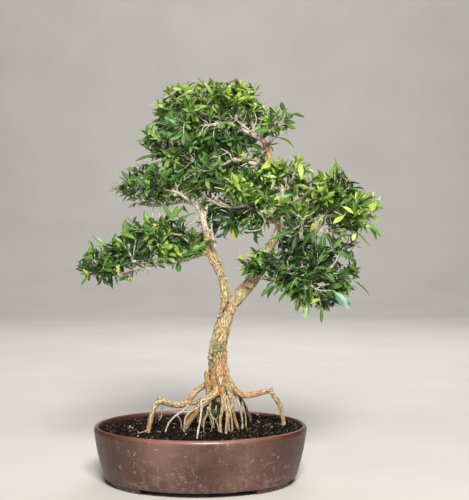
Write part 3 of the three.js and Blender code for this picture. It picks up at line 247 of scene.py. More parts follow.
# Leaves that stand out of the pads: where they grow, then the tip, width and tone of each, the tone
# holding painted light and shade as well as the leaf's own colour, and how withered it is
SHOWN_LEAVES = [
    [[-47, -8, 436], [[-50, -12, 445, 2.5, 0.5], [-56, -12, 429, 3, 0.6], [-37, -11, 440, 3.5, 0.75]]],
    [[-15, -10, 452], [[-26, -12, 467, 5, 0.62], [-14, -13, 463, 5.5, 0.62], [-27, -13, 444, 5.5, 0.72]]],
    [[-27, -6, 446], [[-31, -6, 456, 3.5, 0.5], [-43, -6, 448, 2.5, 0.55]]],
    [[7, -12, 458], [[-4, -12, 470, 4.5, 0.5], [13, -9, 470, 2, 0.55]]],
    [[30, -16, 454], [[22, -19, 460, 4, 0.9], [39, -16, 463, 4, 0.8], [17, -19, 454, 4, 0.85]]],
    [[51, -16, 447], [[42, -19, 459, 8, 0.66], [51, -16, 464, 6, 0.7], [60, -19, 453, 6, 0.8],
     [67, -12, 455, 4, 0.62], [60, -21, 443, 5, 0.78]]],
    [[55, -10, 443], [[79, -10, 439, 4, 0.5], [66, -7, 463, 2, 0.6]]],
    [[73, -8, 429], [[74, -10, 441, 5, 0.6], [83, -8, 433, 3, 0.5]]],
    [[96, -6, 422], [[100, -6, 435, 6, 0.5], [106, -4, 430, 3, 0.5], [90, -9, 426, 4, 0.5],
     [88, -8, 414, 4, 0.45], [107, -4, 419, 1.6, 0.5]]],
    [[92, -6, 406], [[102, -10, 417, 7, 0.36], [81, -6, 413, 4, 0.4]]],
    [[88, -4, 401], [[114, -7, 394, 5, 0.5], [70, -2, 409, 6, 0.3]]],
    [[80, -6, 391], [[92, -6, 393, 3, 0.5], [87, -4, 385, 2.5, 0.45]]],
    [[-56, -12, 396], [[-59, -12, 414, 6, 0.62], [-49, -12, 410, 4, 0.62], [-75, -12, 396, 2.5, 0.5],
     [-68, -14, 390, 3, 0.5]]],
    [[-49, -12, 379], [[-77, -12, 374, 4.5, 0.4], [-73, -12, 391, 3, 0.46], [-58, -16, 383, 3, 0.5]]],
    [[-46, -14, 373], [[-67, -17, 358, 6.5, 0.42], [-33, -17, 360, 5, 0.4]]],
    [[-25, -16, 380], [[-30, -20, 389, 5, 0.62], [-20, -18, 388, 5, 0.5]]],
    [[-82, -8, 335], [[-101, -8, 347, 1.8, 0.5], [-96, -8, 333, 2.5, 0.4], [-91, -8, 326, 3, 0.4]]],
    [[-74, -6, 325], [[-84, -6, 318, 3, 0.4], [-79, -3, 319, 2.5, 0.4]]],
    [[-67, -12, 348], [[-72, -15, 356, 6, 0.45], [-81, -12, 353, 4, 0.55]]],
    [[53, -30, 336], [[47, -34, 358, 7, 0.86, 0.15], [57, -30, 349, 5, 0.66]]],
    [[16, -24, 347], [[29, -28, 364, 4.5, 0.62], [6, -26, 355, 3, 0.7]]],
    [[3, -16, 369], [[6, -20, 360, 4, 0.75], [-8, -18, 374, 4, 0.7]]],
    [[32, -28, 298], [[28, -30, 284, 5.5, 0.24], [50, -28, 286, 4, 0.25]]],
    [[35, -29, 300], [[41, -32, 280, 7.4, 0.62, 0.55]]],
    [[58, -24, 300], [[66, -24, 285, 6, 0.22], [71, -22, 284, 6, 0.2]]],
    [[71, -30, 336], [[62, -30, 327, 1.4, 0.9, 0.6]]],
    [[107, -36, 293], [[80, -42, 278, 6, 0.34]]],
    [[90, -26, 322], [[103, -32, 336, 6, 0.62], [71, -29, 335, 5, 0.3]]],
    [[116, -26, 351], [[115, -28, 372, 6.5, 0.84, 0.1], [123, -26, 356, 5, 0.7], [102, -26, 365, 3, 0.5]]],
    [[135, -34, 303], [[124, -38, 292, 5.5, 0.6, 0.45], [143, -37, 309, 5, 0.85]]],
    [[164, -36, 309], [[152, -41, 299, 6.5, 0.84], [168, -39, 315, 4, 0.7]]],
    [[180, -26, 326], [[195, -30, 336, 6.5, 0.56], [170, -30, 333, 5, 0.6]]],
    [[192, -14, 319], [[210, -14, 328, 3, 0.7], [206, -14, 316, 3, 0.6]]],
    [[199, -12, 304], [[212, -12, 300, 2.5, 0.78], [209, -12, 307, 2.5, 0.7]]],
    [[195, -14, 297], [[211, -17, 287, 4.5, 0.5], [208, -17, 282, 6, 0.46]]],
    [[179, -24, 291], [[195, -24, 274, 3.5, 0.55], [175, -27, 281, 5, 0.8, 0.3]]],
    [[161, -28, 292], [[169, -28, 281, 3.5, 0.55]]],
    [[141, -34, 290], [[139, -36, 272, 8, 0.34], [156, -34, 275, 5, 0.3]]],
    [[130, -32, 292], [[129, -34, 279, 6.5, 0.34], [115, -34, 273, 7, 0.26]]],
    [[152, -30, 269], [[182, -30, 258, 5, 0.42], [137, -34, 264, 3, 0.45]]],
    [[169, -20, 254], [[186, -23, 245, 6.5, 0.4], [179, -18, 247, 4, 0.4]]],
    [[174, -18, 237], [[199, -18, 218, 2.5, 0.46], [182, -15, 237, 2.5, 0.4]]],
    [[164, -26, 233], [[174, -28, 222, 5, 0.55], [152, -30, 227, 4, 0.75]]],
    [[152, -32, 224], [[168, -37, 201, 10, 0.3, -0.68]]],
    [[139, -24, 206], [[140, -24, 185, 4, 0.4], [132, -28, 203, 6, 0.45]]],
    [[124, -30, 209], [[120, -33, 190, 8, 0.45], [137, -34, 212, 7, 0.85, 0.2], [129, -33, 220, 5, 0.62],
     [110, -30, 211, 5, 0.45]]],
    [[112, -34, 226], [[128, -38, 226, 5, 0.86, 0.25], [117, -38, 215, 5, 0.7], [99, -36, 217, 6, 0.6]]],
    [[110, -36, 240], [[109, -39, 230, 6, 0.86], [130, -40, 234, 7, 0.4]]],
    [[84, -24, 230], [[71, -24, 216, 6, 0.45], [96, -27, 222, 6, 0.4]]],
    [[101, -28, 225], [[89, -28, 210, 5, 0.5]]],
    [[142, -36, 244], [[152, -39, 234, 8, 0.38], [153, -36, 248, 5, 0.4]]],
    [[69, -14, 252], [[59, -17, 262, 4.5, 0.86], [46, -14, 247, 5, 0.3], [50, -17, 237, 3.5, 0.5],
     [98, -18, 271, 3.5, 0.42]]],
    [[-57, -28, 292], [[-64, -28, 315, 8, 0.5], [-70, -31, 291, 4, 0.45]]],
    [[-46, -28, 293], [[-55, -31, 303, 5, 0.9, 0.5], [-30, -28, 306, 4, 0.6]]],
    [[-73, -26, 282], [[-90, -28, 291, 6, 0.56]]],
    [[-87, -20, 276], [[-85, -20, 306, 7, 0.47], [-101, -20, 285, 4, 0.5]]],
    [[-31, -20, 305], [[-46, -20, 321, 5.5, 0.47], [-24, -20, 320, 7, 0.5]]],
    [[-25, -18, 304], [[-3, -18, 315, 4, 0.46]]],
    [[-17, -22, 291], [[-1, -22, 294, 4.5, 0.4]]],
    [[-110, -12, 275], [[-126, -12, 286, 4.5, 0.54], [-95, -12, 282, 3, 0.55], [-127, -10, 272, 2, 0.6]]],
    [[-128, -8, 240], [[-141, -8, 229, 5, 0.55], [-137, -8, 247, 3.5, 0.86], [-140, -8, 242, 2, 0.6]]],
    [[-89, -14, 241], [[-78, -16, 233, 5, 0.55], [-93, -14, 234, 3, 0.5]]],
    [[-25, -22, 256], [[-24, -25, 245, 7, 0.4], [-37, -22, 247, 3, 0.5]]],
    [[-40, -36, 266], [[-47, -39, 278, 6, 0.84], [-37, -39, 282, 7, 0.82], [-29, -36, 275, 5, 0.7]]],
    [[-95, -22, 254], [[-95, -26, 239, 6, 0.9, 0.35], [-98, -22, 231, 4, 0.7]]],
    [[-19, -30, 262], [[5, -33, 270, 5, 0.4], [-26, -33, 268, 4, 0.7]]],
    [[0, -18, 274], [[15, -21, 282, 4.5, 0.24]]],
    [[67, -18, 256], [[46, -22, 246, 5, 0.6], [51, -22, 239, 4.5, 0.5], [58, -20, 264, 5.5, 0.82],
     [88, -22, 272, 4, 0.5], [80, -22, 246, 4.5, 0.5]]],
    [[76, -18, 263], [[71, -20, 275, 4, 0.6], [92, -22, 256, 4.5, 0.5], [62, -20, 271, 4, 0.66]]],
    [[-8, -24, 268], [[7, -28, 263, 5, 0.5], [-2, -28, 277, 5, 0.6], [-22, -28, 265, 5, 0.5],
     [8, -26, 273, 5, 0.66]]],
    [[-24, -26, 263], [[-11, -30, 258, 5, 0.46], [-38, -30, 264, 5, 0.6], [-28, -30, 276, 5, 0.66],
     [-12, -30, 268, 5, 0.7]]],
    [[-38, -28, 261], [[-51, -32, 267, 5, 0.55], [-27, -32, 256, 5, 0.45], [-50, -32, 257, 5, 0.5],
     [-40, -32, 274, 5, 0.7]]],
]
# Small tufts that fill the pads between the leafy sprays
TUFTS = [
    [62, -22, 307], [69, -20, 300], [56, -14, 300], [102, -20, 303], [107, -26, 311], [99, -14, 296],
    [-9, -8, 342], [0, -12, 331], [-6, -16, 350], [8, -10, 340], [65, -12, 378], [71, -8, 382],
    [-35, -14, 382], [-28, -12, 375], [-40, -6, 375], [168, -14, 349], [176, -10, 342], [160, -8, 354],
    [-71, -20, 272], [-67, -16, 263], [-75, -12, 282], [-41, -12, 434], [-32, -6, 432], [115, -20, 216],
    [129, -16, 215], [150, -12, 221], [176, -8, 264], [180, -10, 249], [-134, -6, 245], [-129, -8, 252],
    [95, -30, 258], [103, -38, 252], [112, -40, 246], [-13, -26, 264], [-2, -24, 268], [-22, -28, 262],
    [-58, -10, 334], [-47, -12, 336], [-36, -14, 334], [-25, -14, 336], [-52, -4, 341], [-30, -8, 343],
    [9, 0, 391], [12, 8, 398], [66, -16, 256], [82, -18, 262], [72, -20, 249], [98, 10, 277],
    [110, 6, 276], [124, 14, 275], [138, 12, 272], [118, -12, 272], [106, -16, 268], [105, -24, 290],
    [117, -28, 288], [129, -30, 290], [150, -28, 290], [165, -24, 291], [44, -6, 458], [54, -4, 456],
    [62, -6, 450], [-41, -24, 342], [-30, -22, 339], [-18, -18, 335], [-24, -20, 345], [-79, -22, 250],
    [-72, -24, 254], [90, -30, 251], [99, -38, 247], [108, -42, 242], [117, -43, 237], [126, -40, 230],
    [45, 14, 392], [36, 10, 397], [53, 14, 386], [46, 2, 362], [38, 6, 367], [57, 4, 359],
    [64, -14, 296], [71, -10, 304], [58, -18, 304],
]
# Places in front of bare stems that stay free of leaves: x, y, z and how far round
CLEAR = [[83, -8, 383, 12], [77, -8, 396, 9], [60, -14, 371, 8], [93, -16, 345, 9], [96, -14, 328, 7],
         [90, -12, 300, 8], [75, -33, 312, 9]]
# A weed that grows from the soil behind the roots, and bark chips and dead leaves on the soil
WEED = [[16, 2, 58, 0.7], [15, 0, 70, 0.6], [18, -3, 79, 0.5], [19, -4, 88, 0.4]]
FALLEN = [
    [40, -14], [30, -12], [24, -10], [36, -8], [52, -12], [48, -4], [54, -8], [58, -2], [45, 6],
    [70, -58], [76, -50], [84, -34], [-8, -40], [-30, 30], [-60, 8], [95, 30], [20, 60], [110, -10],
    [62, 28], [-74, -20], [30, -62], [4, 40],
]

# Size of the faces of the tubes that make the wood, and of the skin over them
TUBE_FACE, WOOD_VOXEL = 1.2, 0.9
# Heights between which the bark turns pale, and how pale
PALE_FROM, PALE_AT, PALEST = 230, 310, 0.75
# How much paler the thinnest roots are than the thick ones, up to which height
FINE_ROOT_PALE, ROOTS_TOP = 0.3, 110
GOLDEN_ANGLE = 2.4
UP = np.array([0, 0, 1.0])
# Roots too thin for the wood's skin, and how pale they are
THIN_ROOTS = {"straight": 1.0, "left_fine": 0.75, "right_fine": 0.4}


def place(points):
    """Millimetres round the pot's middle as metres in the frame."""
    moved = np.array(points, float)
    moved[..., 0] += SHIFT
    return moved / 1000


def unit(vectors):
    length = np.linalg.norm(vectors, axis=-1, keepdims=True)
    return vectors / np.maximum(length, 1e-9)


def reach_along(line):
    """How far along a line of points each of them lies."""
    gaps = np.linalg.norm(np.diff(line, axis=0), axis=1)
    return np.concatenate([[0], np.cumsum(gaps)])


def round_angles(sides):
    return 2 * math.pi * np.arange(sides) / sides


def grid_faces(grid):
    """Four-cornered faces between neighbours in a grid of point numbers."""
    corners = [grid[:-1, :-1], grid[:-1, 1:], grid[1:, 1:], grid[1:, :-1]]
    return np.stack(corners, -1).reshape(-1, 4)


def ring_faces(rings, sides):
    """Four-cornered faces between neighbouring rings of points."""
    return grid_faces(np.arange(rings * sides).reshape(rings, sides)[:, [*range(sides), 0]])


def capped_rings(rings, sides):
    """Faces between neighbouring rings of points, and one over each end."""
    first, last = np.arange(sides), (rings - 1) * sides + np.arange(sides)
    return [ring_faces(rings, sides), first[None, ::-1], last[None]]


def smooth_step(values, low, high):
    share = np.clip((values - low) / (high - low), 0, 1)
    return share * share * (3 - 2 * share)


class Grit:
    """Smooth random numbers over space, from -1 to 1, the same on every run."""

    PRIMES = (73856093, 19349663, 83492791)

    def __init__(self, seed):
        self.table = np.random.default_rng(seed).uniform(-1, 1, 4096)

    def __call__(self, points):
        cell = np.floor(points).astype(np.int64)
        part = points - cell
        part = part * part * (3 - 2 * part)
        total = 0
        for corner in np.ndindex(2, 2, 2):
            key = (cell + corner) * self.PRIMES
            noise = self.table[(key[..., 0] ^ key[..., 1] ^ key[..., 2]) & 4095]
            total = total + noise * np.prod(np.where(corner, part, 1 - part), axis=-1)
        return total

    def layers(self, points, count):
        """Coarse to fine layers, each half as strong and twice as fine."""
        return sum(self(points * 2**step + 17 * step) / 2**step for step in range(count))


class Route:
    """A smooth line through points that carry a radius, with samples at an even step."""

    def __init__(self, knots, step=1.0):
        knots = np.array(knots, float)
        fine = self.centripetal(knots)
        reach = reach_along(fine[:, :3])
        self.length = reach[-1]
        self.along = np.linspace(0, self.length, max(int(self.length / step), 2) + 1)
        columns = [np.interp(self.along, reach, column) for column in fine.T]
        self.points = np.stack(columns[:3], 1)
        self.radii = columns[3]
        self.tangents = unit(np.gradient(self.points, axis=0))
        self.across, self.other = self.frames()

    @staticmethod
    def centripetal(knots, steps=10):
        """Centripetal Catmull-Rom samples; the radius runs straight from knot to knot."""
        first = 2 * knots[0] - knots[1]
        last = 2 * knots[-1] - knots[-2]
        line = np.vstack([first, knots, last])
        share = np.linspace(0, 1, steps, endpoint=False)[:, None]
        samples = []
        for p0, p1, p2, p3 in zip(line, line[1:], line[2:], line[3:]):
            d0, d1, d2 = (max(np.linalg.norm((b - a)[:3]) ** 0.5, 1e-3)
                          for a, b in ((p0, p1), (p1, p2), (p2, p3)))
            start = ((p1 - p0) / d0 - (p2 - p0) / (d0 + d1) + (p2 - p1) / d1) * d1
            end = ((p2 - p1) / d1 - (p3 - p1) / (d1 + d2) + (p3 - p2) / d2) * d1
            curve = (p1 + start * share + (-3 * p1 + 3 * p2 - 2 * start - end) * share**2
                     + (2 * p1 - 2 * p2 + start + end) * share**3)
            curve[:, 3] = p1[3] + (p2[3] - p1[3]) * share[:, 0]
            samples.append(curve)
        return np.vstack([*samples, knots[-1:]])

    def frames(self):
        """Two directions across the line at each sample, carried along it without twist."""
        across = np.zeros_like(self.points)
        current = np.array([1.0, 0, 0]) if abs(self.tangents[0][2]) > 0.8 else UP
        for step, tangent in enumerate(self.tangents):
            current = unit(current - tangent * np.dot(current, tangent))
            across[step] = current
        return across, np.cross(self.tangents, across)

    def outward(self, sample, turn):
        """The direction across the line at a sample, turned round it by this angle."""
        return self.across[sample] * math.cos(turn) + self.other[sample] * math.sin(turn)


class Heap:
    """Points, faces and point values of many small shapes, made into one object at the end."""

    def __init__(self):
        self.shapes, self.faces, self.materials, self.count = [], [], [], 0

    def add(self, points, faces, material=0, **values):
        """faces is a list of arrays, each of faces with the same number of corners."""
        points = np.asarray(points, float).reshape(-1, 3)
        for group in faces:
            self.faces.append(np.asarray(group, np.int64) + self.count)
            self.materials.append(np.full(len(group), material))
        self.shapes.append((points, values))
        self.count += len(points)

    def add_tube(self, route, sides, pale, material=0, swell=1.0, peeled=()):
        """A closed round length with bark on it."""
        points, faces, grain = tube(route, sides, swell)
        self.add(points, faces, material, grain=grain, pale=pale, peeled=cover(points, peeled))

    def column(self, name):
        """A value on every point of the heap, 0 where a shape has none of that name."""
        width = max(np.shape(values.get(name))[1:] for _, values in self.shapes)
        return np.concatenate([np.broadcast_to(values.get(name, 0), (len(points), *width))
                               for points, values in self.shapes])

    def build(self, name, materials, sharp=None):
        mesh = bpy.data.meshes.new(name)
        points = place(np.concatenate([points for points, _ in self.shapes]))
        corners = np.concatenate([group.ravel() for group in self.faces])
        sizes = np.concatenate([np.full(len(group), group.shape[1]) for group in self.faces])
        mesh.vertices.add(len(points))
        mesh.vertices.foreach_set("co", points.ravel())
        mesh.loops.add(len(corners))
        mesh.loops.foreach_set("vertex_index", corners)
        mesh.polygons.add(len(sizes))
        mesh.polygons.foreach_set("loop_start", np.cumsum(sizes) - sizes)
        mesh.polygons.foreach_set("material_index", np.concatenate(self.materials))
        mesh.update(calc_edges=True)
        names = dict.fromkeys(key for _, values in self.shapes for key in values)
        write_values(mesh, {key: self.column(key) for key in names})
        for material in materials:
            mesh.materials.append(material)
        mesh.shade_smooth()
        if sharp is not None:
            mesh.set_sharp_from_angle(angle=math.radians(sharp))
        return linked(name, mesh)


def linked(name, data):
    """A new object of the scene with this mesh, camera or light."""
    thing = bpy.data.objects.new(name, data)
    bpy.context.scene.collection.objects.link(thing)
    return thing


def write_values(mesh, values):
    """Numbers or vectors on the mesh's points, for its material to read."""
    for name, value in values.items():
        value = np.asarray(value, np.float32)
        kind, key = ("FLOAT_VECTOR", "vector") if value.ndim > 1 else ("FLOAT", "value")
        attribute = mesh.attributes.new(name, kind, "POINT")
        attribute.data.foreach_set(key, value.ravel())


def read_points(mesh, key="co"):
    values = np.empty(3 * len(mesh.vertices))
    mesh.vertices.foreach_get(key, values)
    return values.reshape(-1, 3)


def places_on(mesh):
    """The mesh's points in this script's millimetres."""
    return read_points(mesh) * 1000 - (SHIFT, 0, 0)


def move_points(mesh, points):
    mesh.vertices.foreach_set("co", place(points).ravel())
    mesh.update()


def applied(piece):
    """The piece's mesh with its modifiers made real."""
    bpy.context.view_layer.update()
    shown = piece.evaluated_get(bpy.context.evaluated_depsgraph_get())
    return bpy.data.meshes.new_from_object(shown)


def seat(piece, slot, *nodes):
    """The piece rides on the tree's one body and stands for any nodes given; slot is not used."""
    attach(piece, "root")
    if nodes:
        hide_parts(*nodes)


# Materials


def colour(code):
    """A six-digit colour as linear red, green, blue and alpha."""
    parts = [int(code[start:start + 2], 16) / 255 for start in (0, 2, 4)]
    linear = [(part / 12.92) if part <= 0.04045 else ((part + 0.055) / 1.055) ** 2.4
              for part in parts]
    return (*linear, 1.0)


class Wire:
    """One output of a shader node, which adds and multiplies as a number does."""

    def __init__(self, finish, socket):
        self.finish, self.socket = finish, socket

    def __add__(self, other):
        return self.finish.maths("ADD", self, other)

    def __sub__(self, other):
        return self.finish.maths("SUBTRACT", self, other)

    def __rsub__(self, other):
        return self.finish.maths("SUBTRACT", other, self)

    def __mul__(self, other):
        return self.finish.maths("MULTIPLY", self, other)

    __radd__ = __add__
    __rmul__ = __mul__


class Finish:
    """A material with one Principled shader, and short ways to add nodes and join them."""

    def __init__(self, name, constants):
        self.material = bpy.data.materials.new(name)
        self.material.use_nodes = True
        self.tree = self.material.node_tree
        self.shader = self.tree.nodes["Principled BSDF"]
        for key, value in constants.items():
            self.shader.inputs[key].default_value = value

    def node(self, kind, settings, sockets, output=0):
        """A node with its settings made first, then its sockets set to values or wires."""
        node = self.tree.nodes.new(kind)
        for key, value in settings.items():
            if key == "stops":
                self.set_stops(node.color_ramp, value)
            else:
                setattr(node, key, value)
        for key, value in sockets.items():
            self.feed(node.inputs[key], value)
        return Wire(self, node.outputs[output])

    def feed(self, socket, value):
        if isinstance(value, Wire):
            self.tree.links.new(value.socket, socket)
        else:
            socket.default_value = value

    @staticmethod
    def set_stops(ramp, stops):
        while len(ramp.elements) < len(stops):
            ramp.elements.new(1.0)
        for element, (position, code) in zip(ramp.elements, stops):
            element.position = position
            element.color = colour(code)

    def maths(self, operation, one, two=0.0):
        return self.node("ShaderNodeMath", {"operation": operation}, {0: one, 1: two})

    def stretch(self, vector, scale, operation="MULTIPLY"):
        return self.node("ShaderNodeVectorMath", {"operation": operation}, {0: vector, 1: scale})

    def noise(self, vector, scale, detail=3.0, rough=0.5, offset=0.0):
        moved = self.stretch(vector, (offset, offset, offset), "ADD")
        return self.node("ShaderNodeTexNoise", {}, {
            "Vector": moved, "Scale": scale, "Detail": detail, "Roughness": rough})

    def cells(self, vector, scale, feature="F1"):
        return self.node("ShaderNodeTexVoronoi", {"feature": feature},
                         {"Vector": vector, "Scale": scale})

    def step(self, value, low, high):
        """0 below low, 1 above high and a soft change between."""
        return self.node("ShaderNodeMapRange", {"interpolation_type": "SMOOTHSTEP"},
                         {"Value": value, "From Min": low, "From Max": high})

    def shades(self, value, *stops):
        return self.node("ShaderNodeValToRGB", {"stops": stops}, {"Fac": value})

    def mix(self, base, top, share):
        """The base colour with the top colour over it, by share."""
        base, top = (colour(tone) if isinstance(tone, str) else tone for tone in (base, top))
        return self.node("ShaderNodeMix", {"data_type": "RGBA"},
                         {0: share, 6: base, 7: top}, output=2)

    def over(self, base, *layers):
        """The base colour with each tone laid over it in turn, by its share."""
        for tone, share in layers:
            base = self.mix(base, tone, share)
        return base

    def value(self, name, output="Fac"):
        """What the points of the piece carry under this name."""
        return self.node("ShaderNodeAttribute", {"attribute_name": name}, {}, output)

    def split(self, vector):
        first = self.node("ShaderNodeSeparateXYZ", {}, {0: vector})
        return [Wire(self, socket) for socket in first.socket.node.outputs]

    def space(self):
        """Position on the piece, in millimetres."""
        metres = self.node("ShaderNodeTexCoord", {}, {}, "Object")
        return self.stretch(metres, (1000, 1000, 1000))

    def bump(self, height, depth, under=None):
        """Relief of this depth in millimetres, over another bump if one is given."""
        sockets = {"Height": height, "Strength": 1.0, "Distance": depth / 1000}
        if under is not None:
            sockets["Normal"] = under
        return self.node("ShaderNodeBump", {}, sockets)

    def finish(self, sockets):
        for key, value in sockets.items():
            self.feed(self.shader.inputs[key], value)
        return self.material


def bark_finish():
    """Pale flaking bark: cream plates, tan and grey patches, dark fissures, some moss, and painted shade
    in the creases and dark scars.
    """
    f = Finish("serissa_bark", {"Specular IOR Level": 0.25})
    grain = f.value("grain", "Vector")
    streaks = f.noise(f.stretch(grain, (0.8, 0.8, 0.26)), 1.0, 4.0, 0.68)
    plates = f.noise(f.stretch(grain, (0.3, 0.3, 0.1)), 1.0, 3.0, 0.6, 31)
    patches = f.noise(f.stretch(grain, (0.09, 0.09, 0.04)), 1.0, 2.0, 0.5, 57)
    specks = f.noise(grain, 0.9, 3.0, 0.65, 11)
    tufts = f.noise(grain, 0.8, 4.0, 0.7, 83)
    _, _, height = f.split(f.space())
    low = f.step(height, 160, 115)
    moss = f.step(tufts + f.value("moss") * 0.2, 0.62, 0.7) * f.step(f.value("moss"), 0.1, 0.6)
    wood = f.over(
        f.shades(streaks, (0.34, "35271a"), (0.43, "80673f"), (0.51, "bca479"),
                 (0.6, "e0d3ac"), (0.72, "f8f2de")),
        ("bb8452", f.step(patches, 0.46, 0.6) * (0.25 + low * 0.45)),
        ("aaa482", f.step(patches, 0.48, 0.36) * (0.5 - low * 0.3)),
        ("2c2016", f.step(plates, 0.41, 0.33) * 0.7),
        ("77744a", f.step(specks, 0.57, 0.66) * 0.45),
        (f.shades(specks, (0.4, "2f3f1b"), (0.6, "6f8142")), moss * 0.85),
        (f.shades(streaks, (0.3, "7d766a"), (0.46, "c1bbac"), (0.62, "edeadd")), f.value("pale")),
        (f.shades(streaks, (0.34, "704329"), (0.5, "bf8258"), (0.66, "dfae86")),
         f.value("peeled") * f.step(patches + plates, 0.8, 1.05) * 0.8),
        # Painted shade, with some dirt, darkens the creases; the scars that share this value are real dark
        # lines
        ("2b2016", f.value("hollow") * (0.7 + specks * 0.4)))
    relief = f.bump(plates, 1.0, f.bump(streaks * 0.7 + specks * 0.3, 1.3))
    return f.finish({"Base Color": wood, "Roughness": 0.9 - streaks * 0.25, "Normal": relief})


def leaf_finish():
    """Waxy leaf: paler rib and faint side veins. Its tone holds both age and painted light: dark for old
    leaves and painted shade, yellow-green to whitish for young leaves and painted light.
    """
    f = Finish("serissa_leaf", {"Specular IOR Level": 0.45, "Coat Roughness": 0.25})
    across, along, under = f.split(f.value("blade", "Vector"))
    side = f.maths("ABSOLUTE", across)
    mottle = f.noise(f.space(), 0.35, 2.0, 0.5)
    veins = f.maths("SINE", along * 46 - side * 13)
    veins = f.step(veins, 0.75, 1.0) * (1 - f.step(side, 0.75, 0.95))
    rib = 1 - f.step(side, 0.03, 0.13)
    wither = f.value("wither")
    # The tone ramp's dark end stands for old leaves and painted shade, its pale whitish end for young
    # leaves and painted light
    face = f.over(
        f.shades(f.value("tone"), (0.0, "0d2817"), (0.22, "204a20"), (0.44, "42731e"),
                 (0.64, "7aa12b"), (0.82, "b1ca50"), (1.0, "e0e686")),
        ("173a1c", f.step(mottle, 0.62, 0.4) * 0.25),
        ("a9c46a", veins * 0.16), ("b8cf78", rib * 0.42), ("8fa468", under * 0.45),
        ("cdb04a", f.step(wither, 0.2, 1.0)), ("4d7f64", f.step(wither, -0.2, -0.9)),
        ("7d432a", f.step(wither, 1.1, 1.9)))
    return f.finish({"Base Color": face, "Roughness": 0.4 + mottle * 0.16 + under * 0.2,
                    "Coat Weight": 0.22 - under * 0.2, "Normal": f.bump(veins * -0.5 - rib, 0.12)})


def pot_finish():
    """Mauve-brown fired clay: satin, scratched, darker and redder towards its ends as painted shade, with
    lime above the foot.
    """
    f = Finish("pot_clay", {"Specular IOR Level": 0.45, "Coat Roughness": 0.3})
    space = f.space()
    across, _, height = f.split(space)
    cloud = f.noise(space, 0.018, 3.0, 0.55)
    fine = f.noise(space, 0.16, 3.0, 0.6, 13)
    streaks = f.noise(f.stretch(space, (0.12, 0.12, 0.012)), 1.0, 3.0, 0.6, 5)
    # Painted shade: the clay and its lip turn darker and redder towards the pot's ends, away from the
    # light
    ends = f.step(f.maths("ABSOLUTE", across - SHIFT), 36, 116)
    zone = f.step(f.noise(space, 0.035, 2.0, 0.5, 71), 0.42, 0.58)
    warp = f.noise(space, 0.09, 2.0, 0.5, 37)
    bent = f.node("ShaderNodeVectorMath", {"operation": "SCALE"},
                  {0: space, "Scale": 0.8 + warp * 0.5})
    curls = f.step(f.cells(bent, 0.11, "DISTANCE_TO_EDGE"), 0.045, 0.015)
    curls = curls * f.step(f.noise(space, 0.13, 2.0, 0.5, 91), 0.56, 0.6)
    specks = f.step(f.cells(space, 0.33), 0.17, 0.08) * f.step(fine, 0.42, 0.56)
    lime = f.step(height, 34, 6) * f.step(f.noise(space, 0.12, 4.0, 0.75, 23), 0.5, 0.66)
    marks = f.maths("MAXIMUM", f.maths("MAXIMUM", curls * zone, specks), lime * 0.45)
    lip = f.step(height, 61.5, 64.6)
    clay = f.over(
        f.shades(cloud, (0.3, "46291f"), (0.5, "5b4037"), (0.7, "70534c")),
        ("7b6252", f.step(fine, 0.5, 0.75) * 0.35), ("7b675b", f.step(streaks, 0.55, 0.75) * 0.3),
        # The dark red over the ends is painted shade
        ("3a160d", ends * 0.82), ("c9bdae", marks * 0.46),
        (f.mix("965f50", "54281e", ends), lip * 0.75),
        ("33231b", f.value("inside") * (0.55 + fine * 0.5)))
    relief = f.bump(marks, 0.05, f.bump(fine * 0.6 + cloud * 0.4, 0.25))
    return f.finish({"Base Color": clay, "Roughness": 0.44 + marks * 0.2 - lip * 0.12 + fine * 0.08,
                    "Coat Weight": 0.15 + lip * 0.35, "Normal": relief})


def soil_finish():
    """Damp, near-black granular soil: each grain has its own shade."""
    f = Finish("potting_soil", {"Specular IOR Level": 0.12})
    space = f.space()
    shade = f.value("shade")
    crumb = f.noise(space, 1.1, 4.0, 0.7)
    earth = f.shades(shade, (0.0, "060504"), (0.3, "130f0b"), (0.5, "241c15"), (0.62, "3f2b20"),
                     (0.72, "544636"), (0.85, "857b66"), (1.0, "ddd2be"))
    earth = f.mix(earth, "0a0908", f.step(crumb, 0.56, 0.4) * 0.6)
    return f.finish({"Base Color": earth, "Roughness": 0.95 - shade * 0.2,
                    "Normal": f.bump(crumb, 0.6)})


def mesh_finish():
    """Black plastic drainage mesh with a faint moulded grain."""
    f = Finish("drain_mesh_plastic", {"Specular IOR Level": 0.4})
    grain = f.noise(f.space(), 1.5, 2.0, 0.5)
    return f.finish({"Base Color": f.shades(grain, (0.3, "1c1f1c"), (0.7, "2f332e")),
                    "Roughness": 0.5 + grain * 0.2, "Normal": f.bump(grain, 0.1)})


def floor_finish():
    f = Finish("studio_paper", {"Specular IOR Level": 0.2})
    soft = f.noise(f.space(), 0.004, 2.0, 0.5)
    return f.finish({"Base Color": f.shades(soft, (0.3, "cfccc6"), (0.7, "d6d3cd")), "Roughness": 0.9})


BARK, LEAF, CLAY = bark_finish(), leaf_finish(), pot_finish()
SOIL, DRAIN = soil_finish(), mesh_finish()


# Pot


def oval(inset, height, sides):
    angles = round_angles(sides)
    return np.stack([(RIM_LENGTH - inset) * np.cos(angles),
                     (RIM_DEPTH - inset) * np.sin(angles), np.full(sides, height)], 1)


def foot_shape(start, end, steps=14):
    """One low foot: a stretch of the oval ring, with softened lower edges."""
    section = [(0, FOOT_HEIGHT), (0.2, 1.0), (1.2, 0), (FOOT_WIDTH - 1.2, 0),
               (FOOT_WIDTH - 0.2, 1.0), (FOOT_WIDTH, FOOT_HEIGHT)]
    points = [[(RIM_LENGTH - FOOT_INSET - inset) * math.cos(angle),
               (RIM_DEPTH - FOOT_INSET - inset) * math.sin(angle), height]
              for angle in np.linspace(start, end, steps) for inset, height in section]
    return points, [faces[:, ::-1] for faces in capped_rings(steps, len(section))]


